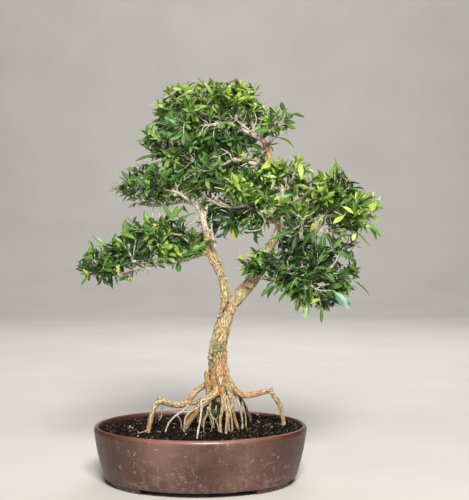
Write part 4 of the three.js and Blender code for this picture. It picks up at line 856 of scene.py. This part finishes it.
def make_pot():
    """The pot's shell, lathed to an oval and pierced by the drain holes, and its four feet."""
    sides = 144
    knots = np.array(POT_PROFILE, float)
    reach = reach_along(knots)
    at = np.linspace(0, reach[-1], 90)
    profile = np.stack([np.interp(at, reach, column) for column in knots.T], 1)
    for _ in range(2):
        profile[1:-1] = (profile[:-2] + 2 * profile[1:-1] + profile[2:]) / 4
    rings = np.stack([oval(inset, height, sides) for inset, height in profile])
    wobble = Grit(5).layers(rings / 38, 2)[..., None]
    rings = rings + unit(rings * (1, 1, 0)) * wobble * 0.22
    inside = smooth_step(np.repeat(at / reach[-1], sides), INSIDE_FROM, INSIDE_FULL)
    heap = Heap()
    heap.add(rings, capped_rings(len(rings), sides), inside=inside)
    pot = heap.build("pot_oval", [CLAY], sharp=50)
    for x in (-DRAIN_OFFSET, DRAIN_OFFSET):
        bpy.ops.mesh.primitive_cylinder_add(vertices=48, radius=DRAIN_RADIUS / 1000, depth=0.04)
        cutter = bpy.context.object
        cutter.location = Vector(place([x, 0, WALL_BOTTOM]))
        cut = pot.modifiers.new("drain_hole", "BOOLEAN")
        cut.object, cut.operation, cut.solver = cutter, "DIFFERENCE", "EXACT"
        pot.data = applied(pot)
        pot.modifiers.clear()
        bpy.data.objects.remove(cutter)
    seat(pot, "pot", "pot")
    feet = Heap()
    for turn in (0, math.pi):
        near, far = FOOT_SIDE_ANGLE, FOOT_FRONT_ANGLE
        for start, end in ((near, far), (math.pi - far, math.pi - near)):
            feet.add(*foot_shape(turn + start, turn + end))
    seat(feet.build("pot_feet", [CLAY], sharp=50), "pot", "pot")


# Soil


def soil_height(x, y):
    """Height of the soil's surface: a low mound with a rough skin, heaped at the right end."""
    out = np.sqrt((x / RIM_LENGTH) ** 2 + (y / RIM_DEPTH) ** 2)
    flat = np.stack([x, y, np.zeros_like(x)], -1)
    rough = Grit(3).layers(flat / 14, 2) * 0.9 + Grit(4).layers(flat / 3.2, 2) * 0.45
    heap = SOIL_HEAP * smooth_step(out, 0.5, 0.85) * (1 + 1.6 * smooth_step(x + y, 50, 110))
    return SOIL_LEVEL + SOIL_MOUND * (1 - out) + heap + rough


# Corners and faces of a grain
GRAIN = np.array([[1, 0, 0], [0, 1, 0], [-1, 0, 0], [0, -1, 0], [0, 0, 1], [0, 0, -1]])
GRAIN_FACES = np.array([[0, 1, 4], [1, 2, 4], [2, 3, 4], [3, 0, 4],
                        [1, 0, 5], [2, 1, 5], [3, 2, 5], [0, 3, 5]])


def make_soil(grains=10500):
    """The heap of soil with an even skin, and loose grains that lie on it."""
    rng = np.random.default_rng(8)
    sides, rings = 180, 60
    layers = [oval(20.5, FLOOR_TOP + 0.6, sides), oval(9.6, 42, sides), oval(7.2, 56, sides)]
    for share in np.linspace(1, 0.01, rings):
        ring = oval(SOIL_INSET * share, 0, sides) * (share, share, 1)
        ring[:, 2] = soil_height(ring[:, 0], ring[:, 1])
        layers.append(ring)
    heap = Heap()
    heap.add(layers, capped_rings(len(layers), sides), shade=0.2)
    reach = np.sqrt(rng.uniform(0, 1, grains)) * 0.985
    turn = rng.uniform(0, 2 * math.pi, grains)
    x = (RIM_LENGTH - GRAIN_INSET) * reach * np.cos(turn)
    y = (RIM_DEPTH - GRAIN_INSET) * reach * np.sin(turn)
    size = np.clip(rng.lognormal(-0.3, 0.5, grains), 0.35, 2.6)
    shade = np.where(rng.random(grains) < DARK_GRAINS, rng.uniform(0, 0.7, grains),
                     rng.uniform(0.6, 1, grains))
    size = size * np.where(shade > 0.8, 0.75, 1)
    middles = np.stack([x, y, soil_height(x, y) + size * 0.15], 1)[:, None]
    stretch = rng.uniform(0.5, 1.5, (grains, 1, 3)) * rng.uniform(0.8, 1.25, (grains, 6, 1))
    turn = rng.uniform(0, math.pi, (grains, 1))
    shape = GRAIN * stretch * size[:, None, None] + rng.normal(0, 0.12, (grains, 6, 3))
    east = shape[..., 0] * np.cos(turn) - shape[..., 1] * np.sin(turn)
    north = shape[..., 0] * np.sin(turn) + shape[..., 1] * np.cos(turn)
    bits = middles + np.stack([east, north, shape[..., 2]], -1)
    faces = GRAIN_FACES + 6 * np.arange(grains)[:, None, None]
    heap.add(bits, [faces.reshape(-1, 3)], shade=np.repeat(shade, 6))
    seat(heap.build("soil_and_grains", [SOIL], sharp=25), "soil", "soil")


# Wood


def tube(route, sides, swell=1.0):
    """Points, faces and grain of a closed round length; swell varies its radius."""
    angles = round_angles(sides)
    circle = (np.cos(angles)[:, None] * route.across[:, None]
              + np.sin(angles)[:, None] * route.other[:, None])
    radius = route.radii[:, None] * swell * np.ones(sides)
    points = (route.points[:, None] + radius[..., None] * circle).reshape(-1, 3)
    rounding = route.radii[[0, -1]][:, None] * [[-0.6], [0.6]] * route.tangents[[0, -1]]
    ends = route.points[[0, -1]] + rounding
    count, side = len(route.points), np.arange(sides)
    after = (side + 1) % sides
    base, first = (count - 1) * sides, count * sides
    start_cap = np.stack([np.full(sides, first), after, side], 1)
    end_cap = np.stack([np.full(sides, first + 1), base + side, base + after], 1)
    grain = np.stack([
        (route.radii[:, None] * np.cos(angles)).ravel(),
        (route.radii[:, None] * np.sin(angles)).ravel(),
        np.repeat(route.along, sides)], 1)
    grain = np.vstack([grain, [0, 0, route.along[0]], [0, 0, route.along[-1]]])
    return np.vstack([points, ends]), [ring_faces(count, sides), start_cap, end_cap], grain


def stub_route(start, direction, radius, length):
    start = np.array(start, float)
    end = start + unit(np.array(direction, float)) * length
    middle = (start + end) / 2
    return Route([[*start, radius * 1.3], [*middle, radius], [*end, radius * 0.8]])


def knobs(trunks, count=16):
    """Short stumps of old twigs that stand a little out of the upper trunks."""
    rng = np.random.default_rng(17)
    found = []
    for trunk in trunks:
        for share in rng.uniform(0.12, 0.9, count):
            sample = int(share * len(trunk.points))
            turn = rng.uniform(0, 2 * math.pi)
            outward = trunk.outward(sample, turn) + trunk.tangents[sample] * rng.uniform(0, 0.8)
            radius = rng.uniform(0.8, 1.5)
            length = trunk.radii[sample] + rng.uniform(0.8, 2.4)
            found.append(stub_route(trunk.points[sample], outward, radius, length))
    return found


def thick_routes():
    """Trunks, thick roots, stubs and knobs, and the foot of each limb."""
    routes = [Route(TRUNK), Route(RIGHT_TRUNK), Route(LEFT_TRUNK)]
    routes += [Route(points) for name, points in ROOTS.items() if name not in THIN_ROOTS]
    routes += [stub_route(*stub) for stub in STUBS] + knobs(routes[1:3])
    routes += [Route(points[:4]) for points in LIMBS.values()]
    return routes


def joined(heap):
    """The heap's overlapping tubes as one skin of small even faces."""
    piece = heap.build("wood_forms", [])
    remesh = piece.modifiers.new("skin", "REMESH")
    remesh.mode, remesh.voxel_size = "VOXEL", WOOD_VOXEL / 1000
    mesh = applied(piece)
    bpy.data.objects.remove(piece)
    return mesh


def neighbours_mean(points, edges):
    """For each point, the middle of the points that it shares an edge with."""
    count = np.bincount(edges.ravel(), minlength=len(points))[:, None]
    total = np.zeros_like(points)
    for one, other in ((0, 1), (1, 0)):
        for axis in range(3):
            total[:, axis] += np.bincount(edges[:, one], points[edges[:, other], axis], len(points))
    return total / np.maximum(count, 1)


def relax(points, edges, rounds):
    """Points drawn towards their neighbours and back, which smooths without shrinking."""
    for pull in (0.55, -0.57) * rounds:
        points = points + pull * (neighbours_mean(points, edges) - points)
    return points


def wood_places(points, routes):
    """For each point, the nearest route's local radius, and its place round and along it."""
    centres, radii, across, other = (
        np.concatenate([getattr(route, key) for route in routes])
        for key in ("points", "radii", "across", "other"))
    along = np.concatenate([route.along + 60 * step for step, route in enumerate(routes)])
    nearest = np.empty(len(points), int)
    for start in range(0, len(points), 4000):
        part = points[start:start + 4000]
        square = (part**2).sum(1)[:, None] + (centres**2).sum(1) - 2 * part @ centres.T
        nearest[start:start + 4000] = np.argmin(np.sqrt(np.maximum(square, 0)) - radii, axis=1)
    offset = unit(points - centres[nearest])
    radius = radii[nearest]
    grain = np.stack([(offset * across[nearest]).sum(1) * radius,
                      (offset * other[nearest]).sum(1) * radius, along[nearest]], 1)
    return radius, grain


def bark_relief(radius, grain):
    """How far the bark stands out: ribs, fissures along the grain, burrs and small flakes."""
    size = np.clip(radius / 8, 0.12, 1)
    ribs = Grit(11).layers(grain * (0.16, 0.16, 0.03), 2) * 0.8
    streaks = Grit(12).layers(grain * (0.55, 0.55, 0.12), 2) * 0.4
    fissures = smooth_step(Grit(13).layers(grain * (0.34, 0.34, 0.07), 2), 0.25, 0.75) * -0.95
    burrs = smooth_step(Grit(15)(grain * (0.2, 0.2, 0.12)), 0.4, 0.9) * 1.3
    flakes = Grit(14)(grain * (0.95, 0.95, 0.4)) * 0.26
    return size * (ribs + streaks + fissures + burrs + flakes)


def crease_shade_and_dirt(points, edges, normals, rounds=14):
    """Painted shade, with some dirt, in the creases between roots and ribs: 1 there, and 0 where the wood
    is flat or stands out.
    """
    smooth = points
    for _ in range(rounds):
        smooth = (smooth + neighbours_mean(smooth, edges)) / 2
    return smooth_step(((smooth - points) * normals).sum(1), 0.1, 0.58)


def cover(points, places):
    """1 at each of the places, a middle and a spread, and 0 away from them."""
    share = np.zeros(len(points))
    for *middle, spread in places:
        gap = np.linalg.norm(points - middle, axis=1)
        share = np.maximum(share, smooth_step(gap, 1.5 * spread, 0.3 * spread))
    return share


def make_thick_wood():
    """Trunks, thick roots and the feet of the limbs as one skin with relief in its bark."""
    routes = thick_routes()
    heap = Heap()
    for route in routes:
        sides = int(np.clip(2 * math.pi * route.radii.max() / TUBE_FACE, 12, 64))
        points, faces, _ = tube(route, sides)
        heap.add(points, faces)
    mesh = joined(heap)
    edges = np.empty(2 * len(mesh.edges), np.int64)
    mesh.edges.foreach_get("vertices", edges)
    edges = edges.reshape(-1, 2)
    points = relax(places_on(mesh), edges, 4)
    move_points(mesh, points)
    radius, grain = wood_places(points, routes)
    points = points + read_points(mesh, "normal") * bark_relief(radius, grain)[:, None]
    points = relax(points, edges, 1)
    move_points(mesh, points)
    height = points[:, 2]
    fine_root = smooth_step(radius, 2.4, 1.2) * (height < ROOTS_TOP) * FINE_ROOT_PALE
    high = smooth_step(height, PALE_FROM, PALE_AT) * smooth_step(radius, 6, 1.8) * PALEST
    lines = [Route(knots) for knots in SCARS]
    scars = np.vstack([np.column_stack([line.points, line.radii]) for line in lines])
    # Painted shade, with some dirt, in the creases, together with the real dark scars
    hollow = np.maximum(crease_shade_and_dirt(points, edges, read_points(mesh, "normal")), cover(points, scars))
    write_values(mesh, {"grain": grain, "pale": np.maximum(fine_root, high), "hollow": hollow,
                        "moss": cover(points, MOSS), "peeled": cover(points, PEELED)})
    mesh.materials.append(BARK)
    mesh.shade_smooth()
    seat(linked("trunk_and_roots", mesh), "bark", "tree_wood")


def knotted(route, seed):
    """A radius that swells at buds and old leaf scars along a thin limb."""
    bumps = Grit(seed)(np.stack([route.along / 3.1, 0 * route.along, 0 * route.along], 1))
    return (1 + 0.16 * bumps)[:, None]


def make_limbs():
    """Limbs, fine roots and the bare twigs that show under the pads."""
    rng = np.random.default_rng(21)
    heap = Heap()
    for step, (name, points) in enumerate(LIMBS.items()):
        route = Route(points, 1.6)
        heap.add_tube(route, 10, 0.75, swell=knotted(route, 40 + step), peeled=PEELED)
        gap = 10 if name.startswith(("right", "low_left", "fork")) else 4
        for sample in range(3, len(route.points) - 1, gap):
            heap.add_tube(bare_twig(route, sample, rng), 5, 0.95)
    fine_roots = [(ROOTS[name], pale) for name, pale in THIN_ROOTS.items()]
    for points, pale in fine_roots + [(points, 0.25) for points in HAIR_ROOTS]:
        route = Route(points, 1.6)
        heap.add_tube(route, 8, pale, swell=knotted(route, 90))
    seat(heap.build("limbs_and_twigs", [BARK]), "bark", "tree_wood")


def bare_twig(route, sample, rng):
    """A short forking-out twig on a limb, heading outward, forward and a little up."""
    start = route.points[sample]
    outward = route.outward(sample, rng.uniform(0, 2 * math.pi))
    forward = route.tangents[sample] * rng.uniform(0.3, 0.9)
    heading = unit(outward + forward + (0, 0, rng.uniform(0, 0.7)))
    length = rng.uniform(7, 20)
    bend = rng.normal(0, 0.16, 3) * length
    middle = start + heading * length * 0.5 + bend * 0.5
    end = start + heading * length + bend * 0.2
    radius = min(0.75, route.radii[sample] * 0.6)
    return Route([[*start, radius], [*middle, radius * 0.75], [*end, radius * 0.45]], 1.8)


# Leaves and shoots

# Half width of a blade at stations from its stalk to its tip
BLADE_STATIONS = np.array([0, 0.12, 0.32, 0.58, 0.84, 1])
BLADE_WIDTHS = np.array([0.14, 0.3, 0.86, 1.0, 0.56, 0.02])
BLADE_THICKNESS = 0.38
LARGE_LEAF, LONGEST_LEAF = 15.5, 21.0
# How far a leaf may end from its spray's solid, and how many leaves may go to the second distance
CLOUD_REACH, LONG_REACH, LONG_SHARE = 8.6, 15.0, 0.16
# Opposite pairs: length of the shoot's end that bears them, the first one's distance from the tip,
# then gaps that widen from the first to the longest, and the leaves' length and slimness
PAIRED_LENGTH, FIRST_PAIR, FIRST_GAP, GAP_GROWTH, LONGEST_GAP = 24, 0.3, 1.4, 1.45, 5.0
PAIR_LENGTHS, PAIR_SLIMNESS = (17, 25), (0.125, 0.19)
# Whorls on spurs: leaves in each, gaps between them, and the leaves' length and slimness
WHORL_LEAVES, WHORL_GAPS = 5, (4, 7)
WHORL_LENGTHS, WHORL_SLIMNESS = (9, 15.5), (0.1, 0.155)
# Distance between the short spurs on a limb, and how many points of a solid make one shoot
SPUR_GAP, POINTS_A_SHOOT = 6.0, 5.8


class Blade:
    """A closed leaf blade: where its corners lie across and along it, and its faces."""

    def __init__(self, stations, across):
        rows, columns = len(stations), len(across)
        top = np.arange(rows * columns).reshape(rows, columns)
        rib = rows * columns + np.arange(rows)
        under = np.stack([top[:, 0], rib, top[:, -1]], 1)
        stalk = [*under[0], *top[0, -2:0:-1]]
        tip = [*top[-1], rib[-1]]
        self.faces = [grid_faces(top), grid_faces(under)[:, ::-1], np.array([stalk, tip])]
        self.across = np.concatenate([np.tile(across, rows), np.zeros(rows)])
        self.along = np.concatenate([np.repeat(stations, columns), stations])
        self.below = np.repeat([0.0, 1.0], [rows * columns, rows])


FINE_BLADE = Blade(BLADE_STATIONS, [-1, -0.5, 0, 0.5, 1])
SMALL_BLADE = Blade(BLADE_STATIONS[[0, 2, 3, 4, 5]], [-1, 0, 1])


class Leaves:
    """Stems with many leaves in one style, low to high, made into one object together."""

    def __init__(self, rng, style=None, low=0.0, high=0.0):
        self.rng, self.style, self.low, self.high = rng, style, low, high
        self.heap, self.rows = Heap(), []

    def stem(self, route):
        self.heap.add_tube(route, 5, 0.6, material=1)

    def add(self, base, heading, upward, length, tone, wither=0.0, slimness=None):
        """A leaf; wither is below 0 for a bluish one, and over 1 for a dead one."""
        if slimness is None:
            slimness = self.rng.uniform(*WHORL_SLIMNESS)
        self.rows.append((base, heading, upward, length, tone, wither, slimness))

    def tone_with_painted_light(self, height, tipness):
        """Lighter towards the top of the pad, which is painted light (a negative rise makes the top
        darker, painted shade from the pad above), and towards the young tip of the shoot.
        """
        level = (height - self.low) / max(self.high - self.low, 1)
        tone = self.style.tone + self.style.rise * level + 0.32 * tipness**1.5
        return float(np.clip(tone + self.rng.normal(0, 0.12), 0.02, 0.86))

    def add_pairs(self, shoot):
        """Opposite pairs up the outer part of a shoot, each across the last, and a tip cluster."""
        rng, style = self.rng, self.style
        turn = rng.uniform(0, math.pi)
        vigour = rng.uniform(0.72, 1.15) * style.scale
        back, gap = FIRST_PAIR, FIRST_GAP
        while back < min(shoot.length * 0.85, PAIRED_LENGTH):
            sample = np.searchsorted(shoot.along, shoot.length - back)
            sample = int(np.clip(sample, 1, len(shoot.along) - 1))
            base, tangent = shoot.points[sample], shoot.tangents[sample]
            tipness = 1 - min(back / 13, 1)
            turn += math.pi / 2 + rng.normal(0, 0.25)
            for half in (0, math.pi):
                if rng.random() > style.share or (back > 6 and rng.random() < 0.12):
                    continue
                outward = shoot.outward(sample, turn + half + rng.normal(0, 0.15))
                spread = 1.2 - 0.65 * tipness + rng.normal(0, 0.2)
                heading = tangent * math.cos(spread) + outward * math.sin(spread) + UP * 0.1
                upward = tangent * math.sin(spread) - outward * math.cos(spread) + UP * 0.8
                grown = 0.45 + 0.55 * min(1, (back + 0.8) / 5.5)
                size = min(vigour * rng.uniform(*PAIR_LENGTHS) * grown, LONGEST_LEAF)
                foot = base + unit(outward) * shoot.radii[sample] * 0.6
                self.add(foot, heading, upward, size, self.tone_with_painted_light(base[2], tipness),
                         -style.blue, rng.uniform(*PAIR_SLIMNESS))
            gap = min(gap * GAP_GROWTH, LONGEST_GAP)
            back += gap

    def add_whorls(self, shoot):
        """Whorls of small narrow leaves on very short spurs along the older part of a shoot."""
        rng, style = self.rng, self.style
        back = rng.uniform(7, 11)
        while back < shoot.length - 2:
            sample = int(np.searchsorted(shoot.along, shoot.length - back))
            base = shoot.points[sample]
            outward = shoot.outward(sample, rng.uniform(0, 2 * math.pi))
            spur = unit(outward + shoot.tangents[sample] * 0.3 + UP * 0.3)
            tone = self.tone_with_painted_light(base[2], 0.35)
            for _ in range(int(round(WHORL_LEAVES * style.share))):
                heading = spur + 0.75 * unit(np.cross(spur, rng.normal(0, 1, 3)))
                size = style.scale * rng.uniform(*WHORL_LENGTHS)
                shade = float(np.clip(tone + rng.normal(0, 0.06), 0.02, 1))
                self.add(base + spur * 0.4, heading, UP + spur * 0.3, size, shade, -style.blue)
            back += rng.uniform(*WHORL_GAPS)

    def clothe(self, shoots, cloud):
        """Leaves on all the shoots, kept where they end near the cloud's points, between two
        heights and away from the bare stems. A few may stand further out."""
        for shoot in shoots:
            self.stem(shoot)
            self.add_pairs(shoot)
            self.add_whorls(shoot)
        rows, self.rows = self.rows, []
        for row in rows:
            base, heading, _, length = row[:4]
            tip = base + unit(heading) * length
            gap = np.linalg.norm(tip - cloud, axis=1).min()
            reach = LONG_REACH if self.rng.random() < LONG_SHARE else CLOUD_REACH
            free = all(math.dist((base + tip) / 2, spot) > away for *spot, away in CLEAR)
            if gap < reach and self.low - 3 < tip[2] < self.style.ceiling and free:
                self.rows.append(row)

    def add_blades(self, blade, rows):
        rng = self.rng
        u, v, below = blade.across, blade.along, blade.below
        base, heading, upward, length, tone, wither, slimness = (
            np.array(column, float) for column in zip(*rows))
        count, each = len(base), len(u)
        heading = unit(heading)
        side = unit(np.cross(heading, upward))
        upward = np.cross(side, heading)
        length = length[:, None]
        width = length * slimness[:, None]
        arch = rng.normal(0.5, 0.32, (count, 1))
        fold = rng.uniform(0.05, 0.42, (count, 1))
        twist = rng.normal(0, 0.28, (count, 1)) * v
        wave = rng.uniform(-0.5, 0.5, (count, 1))
        profile = np.interp(v, BLADE_STATIONS, BLADE_WIDTHS)
        reach = length * (v - arch**2 * v**3 / 6)
        lift = length * (0.09 * v - arch * v**2 / 2)
        out = width * profile * u
        rise = np.abs(out) * fold + wave * width * 0.3 * u**2 * np.sin(6 * v)
        rise = rise - below * BLADE_THICKNESS * (1 - 0.35 * np.abs(u)) * np.sqrt(profile + 0.05)
        across = out * np.cos(twist) - rise * np.sin(twist)
        height = out * np.sin(twist) + rise * np.cos(twist) + lift
        points = (base[:, None] + heading[:, None] * reach[..., None]
                  + side[:, None] * across[..., None] + upward[:, None] * height[..., None])
        offsets = each * np.arange(count)[:, None, None]
        faces = [(group + offsets).reshape(-1, group.shape[1]) for group in blade.faces]
        self.heap.add(points, faces, blade=np.tile(np.stack([u, v, below], 1), (count, 1)),
                      tone=np.repeat(tone, each), wither=np.repeat(wither, each))

    def build(self, name):
        for blade, large in ((FINE_BLADE, True), (SMALL_BLADE, False)):
            rows = [row for row in self.rows if (row[3] >= LARGE_LEAF) == large]
            if rows:
                self.add_blades(blade, rows)
        return self.heap.build(name, [LEAF, BARK], sharp=60)


def spray_cloud(node):
    """Corner points of a spray's solid, in this script's millimetres."""
    return np.unique(places_on(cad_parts[node].data).round(2), axis=0)


def limb_under(cloud, limbs):
    """The limb, and the sample on it, that lie nearest to the points."""
    def gaps(route):
        return (np.linalg.norm(cloud[:, None] - route.points, axis=2) - route.radii).min(0)
    limb = min(limbs, key=lambda route: gaps(route).min())
    return limb, int(np.argmin(gaps(limb)))


def far_ends(cloud, start, count):
    """Outermost points of the spray, each as far as can be from those chosen before."""
    distance = np.linalg.norm(cloud - start, axis=1)
    chosen = [int(np.argmax(distance))]
    apart = np.linalg.norm(cloud - cloud[chosen[0]], axis=1)
    while len(chosen) < count:
        apart[distance < 9] = 0
        chosen.append(int(np.argmax(apart)))
        apart = np.minimum(apart, np.linalg.norm(cloud - cloud[chosen[-1]], axis=1))
    return cloud[chosen]


def bent_shoot(start, heading, end, radius):
    """A stretch of twig that leaves its start in this heading."""
    knee = start + (end - start) * 0.42 + unit(heading) * np.linalg.norm(end - start) * 0.2
    tip_radius = max(0.42, radius * 0.62)
    return Route([[*start, radius], [*knee, (radius + tip_radius) / 2], [*end, tip_radius]], 2.2)


def fork_for(shoots, end):
    """The earlier shoot, and the sample on it, that one to this end leaves most naturally."""
    def costs(route):
        inner = slice(1, max(2, int(0.8 * len(route.points))))
        reach = end - route.points[inner]
        forward = (unit(reach) * route.tangents[inner]).sum(1)
        return np.linalg.norm(reach, axis=1) * (1.25 - 0.45 * forward) + 0.08 * route.along[inner]
    parent = min(shoots, key=lambda route: costs(route).min())
    return parent, int(np.argmin(costs(parent))) + 1


def grow_shoots(cloud, limbs, rng):
    """Forking shoots from the nearest limb to the outer points of a spray's solid."""
    limb, sample = limb_under(cloud, limbs)
    start = limb.points[sample]
    ends = far_ends(cloud, start, int(round(len(cloud) / POINTS_A_SHOOT)))
    ends = ends - unit(ends - cloud.mean(0)) * rng.uniform(5, 13, (len(ends), 1))
    ends = ends + rng.normal(0, 2.5, ends.shape)
    ends = ends[np.argsort(np.linalg.norm(ends - start, axis=1))]
    shoots = [bent_shoot(start, limb.tangents[sample], ends[len(ends) // 2], 1.25)]
    for end in ends:
        parent, fork = fork_for(shoots, end)
        if np.linalg.norm(end - parent.points[fork]) >= 4:
            heading = parent.tangents[fork] + rng.normal(0, 0.25, 3)
            shoots.append(bent_shoot(parent.points[fork], heading, end, parent.radii[fork] * 0.82))
    return shoots


# How the leaves of a pad look: tone of the lowest ones, partly painted shade where the pad lies under
# another, and how much lighter the top ones are, as painted light (negative for painted shade from a pad
# above), share of leaves that grew, their size, a height that they stay under, and how blue they are
Pad = namedtuple("Pad", "tone rise share scale ceiling blue", defaults=(0.4, 1, 1, math.inf, 0))
PADS = {
    "crown": Pad(0.25, scale=0.88, ceiling=468, blue=0.3),
    "crown_right": Pad(0.12, share=0.32, scale=1.2),
    "shoulder": Pad(0.06, scale=0.92, blue=0.42), "middle_back": Pad(0.1, blue=0.48),
    "upper_left": Pad(0.02, blue=0.3), "upper_middle": Pad(0.14, scale=0.9, blue=0.42),
    "centre": Pad(0.18, scale=0.9, blue=0.3), "centre_right": Pad(0.24, scale=0.9),
    "centre_low": Pad(-0.16, 0.2, scale=0.95), "upper_right": Pad(0.28),
    "right_tip": Pad(0.26, share=0.9), "neck": Pad(0.28, share=0.8, scale=0.7),
    "lower_right": Pad(0.38, -0.5, scale=1.12, ceiling=278),
    "fork": Pad(0.3, 0.2, share=0.5, scale=0.95, ceiling=268),
    "lower_left": Pad(0.16, 0.2, scale=1.08), "left_tip": Pad(0.06, 0.3, share=0.9),
    "left_inner": Pad(0.16, 0.22, share=0.9, scale=1.05), "spurs": Pad(0.02, 0.36, scale=0.85),
}


def make_spray(node, cloud, limbs, seed):
    rng = np.random.default_rng(seed)
    style = PADS[node[len("spray_"):].rsplit("_", 1)[0]]
    leaves = Leaves(rng, style, cloud[:, 2].min(), cloud[:, 2].max())
    leaves.clothe(grow_shoots(cloud, limbs, rng), cloud)
    seat(leaves.build("leafy_" + node), "leaves", node)


def make_spurs(limbs, cloud):
    """Short leafy spurs along the outer part of every limb, inside the pads, and the tufts."""
    rng = np.random.default_rng(77)
    shoots = []
    for points in LIMBS.values():
        limb = Route(points)
        for along in np.arange(0.3, 1, SPUR_GAP / limb.length):
            sample = int(along * (len(limb.points) - 1))
            outward = limb.outward(sample, rng.uniform(0, 2 * math.pi))
            forward = limb.tangents[sample] * rng.uniform(0.2, 0.8)
            heading = unit(outward + forward + UP * rng.uniform(0.1, 0.9))
            start = limb.points[sample]
            end = start + heading * rng.uniform(6, 15)
            shoots.append(bent_shoot(start, heading + rng.normal(0, 0.3, 3), end, 0.8))
    for tuft in np.array(TUFTS, float):
        limb, sample = limb_under(tuft[None], limbs)
        stem = bent_shoot(limb.points[sample], limb.tangents[sample], tuft, 0.8)
        start = stem.points[len(stem.points) // 2]
        ends = tuft + rng.normal(0, 6, (3, 3))
        shoots += [stem] + [bent_shoot(start, end - start, end, 0.6) for end in ends]
    heights = [shoot.points[-1][2] for shoot in shoots]
    leaves = Leaves(rng, PADS["spurs"], min(heights), max(heights))
    leaves.clothe(shoots, np.vstack([cloud, TUFTS]))
    seat(leaves.build("spur_leaves"), "leaves")


def from_limb(points, limbs):
    """A stem through the points, led by the place on the nearest limb that it grows from."""
    limb, sample = limb_under(np.array([points[0][:3]], float), limbs)
    return Route([[*limb.points[sample], points[0][3] * 1.15], *points], 1.8)


def tapered(depth, radius, *places):
    """Points of a fine twig, from its foot's radius to a thinner tip."""
    last = len(places) - 1
    return [[x, depth, z, round(radius * (1 - TWIG_TAPER * step / last), 2)]
            for step, (x, z) in enumerate(places)]


def make_shown(limbs):
    """Leaves and fine twigs that stand out of the pads, on thin stems from the limbs."""
    leaves = Leaves(np.random.default_rng(55))
    for points in [*(tapered(*twig) for twig in SHOWN_TWIGS), *OTHER_TWIGS]:
        leaves.stem(from_limb(points, limbs))
    for foot, group in SHOWN_LEAVES:
        leaves.stem(from_limb([[*foot, 0.45]], limbs))
        for x, y, z, width, tone, *wither in group:
            reach = np.array([x, y, z], float) - foot
            length = np.linalg.norm(reach)
            leaves.add(np.array(foot, float), reach + UP * length * 0.12, UP - (0, 1.0, 0),
                       length * 1.04, tone, sum(wither), width / 2 / length)
    seat(leaves.build("standing_out"), "leaves")


def make_weed():
    """A weed with small leaves, and the dead leaves and bark chips that lie on the soil."""
    rng = np.random.default_rng(66)
    leaves = Leaves(rng)
    stem = Route(WEED, 1.5)
    leaves.stem(stem)
    for sample in range(4, len(stem.points), 2):
        turn = sample * GOLDEN_ANGLE
        heading = np.array([math.cos(turn), math.sin(turn), 0.7])
        leaves.add(stem.points[sample], heading, UP, rng.uniform(9, 15), rng.uniform(0.4, 0.7))
    for x, y in np.array(FALLEN, float):
        turn = rng.uniform(0, 2 * math.pi)
        heading = np.array([math.cos(turn), math.sin(turn), rng.uniform(-0.05, 0.15)])
        leaves.add(np.array([x, y, soil_height(x, y) + 0.9]), heading, UP + rng.normal(0, 0.3, 3),
                   rng.uniform(5, 10), 0.5, rng.choice([1.4, 1.7, 2.0]))
    seat(leaves.build("weed_and_litter"), "leaves")


def make_foliage():
    limbs = [Route(points) for points in [*LIMBS.values(), RIGHT_TRUNK, LEFT_TRUNK]]
    make_shown(limbs)
    nodes = sorted(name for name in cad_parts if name.startswith("spray_"))
    clouds = [spray_cloud(node) for node in nodes]
    for step, (node, cloud) in enumerate(zip(nodes, clouds)):
        make_spray(node, cloud, limbs, 100 + step)
    make_spurs(limbs, np.vstack(clouds))
    make_weed()


# Stage


def make_camera():
    data = bpy.data.cameras.new("photo_view")
    data.lens = CAMERA_LENS
    data.clip_start, data.clip_end = 0.05, 30
    camera = linked("photo_view", data)
    camera.location = Vector(place(CAMERA_PLACE))
    camera.rotation_euler = (math.radians(90 - CAMERA_TILT), 0, 0)
    bpy.context.scene.camera = camera


def make_light(name, spot, aim, size, power, tint):
    """A soft square light that faces the given point."""
    data = bpy.data.lights.new(name, "AREA")
    data.size, data.energy, data.color = size, power, tint
    light = linked(name, data)
    light.location = Vector(spot)
    light.rotation_euler = (Vector(aim) - light.location).to_track_quat("-Z", "Y").to_euler()


def paper_sweep(width=14, front=-6, flat_end=2.4, bend=1.6, top=6, steps=24):
    """Pale paper: flat under the pot, and curved up to a wall far behind it."""
    turn = np.linspace(0, math.pi / 2, steps)
    depth = [front, *(flat_end + bend * np.sin(turn)), flat_end + bend]
    height = [0, *(bend - bend * np.cos(turn)), top]
    mesh = bpy.data.meshes.new("studio_paper")
    points = [(side * width / 2, y, z) for y, z in zip(depth, height) for side in (-1, 1)]
    faces = [(row, row + 1, row + 3, row + 2) for row in range(0, len(points) - 2, 2)]
    mesh.from_pydata(points, [], faces)
    mesh.materials.append(floor_finish())
    mesh.shade_smooth()
    paper = linked("studio_paper", mesh)


def make_stage():
    paper_sweep()
    tree = place([20, 0, 230])
    make_light("window", (0.2, -1.8, 1.45), tree, 0.6, 78, (1.0, 0.97, 0.92))
    make_light("soft_left", (-1.5, -1.2, 0.8), tree, 1.4, 3, (0.95, 0.97, 1.0))
    make_light("soft_back", (0.3, 1.6, 1.5), tree, 1.2, 10, (1.0, 1.0, 1.0))
    make_light("paper_wash", (0, 0.9, 2.6), (0, 3.6, 0.9), 1.6, 54, (1.0, 1.0, 1.0))
    world = bpy.data.worlds.new("studio")
    bpy.context.scene.world = world
    world.use_nodes = True
    background = world.node_tree.nodes["Background"]
    background.inputs[0].default_value = (0.8, 0.8, 0.8, 1)
    background.inputs[1].default_value = 0.06
    bpy.context.scene.view_settings.view_transform = "Standard"


make_camera()
make_pot()
make_soil()
for screen in ("drain_screen_1", "drain_screen_2"):
    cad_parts[screen].data.materials.clear()
    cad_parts[screen].data.materials.append(DRAIN)
make_thick_wood()
make_limbs()
make_foliage()
make_stage()

bpy.context.view_layer.update()
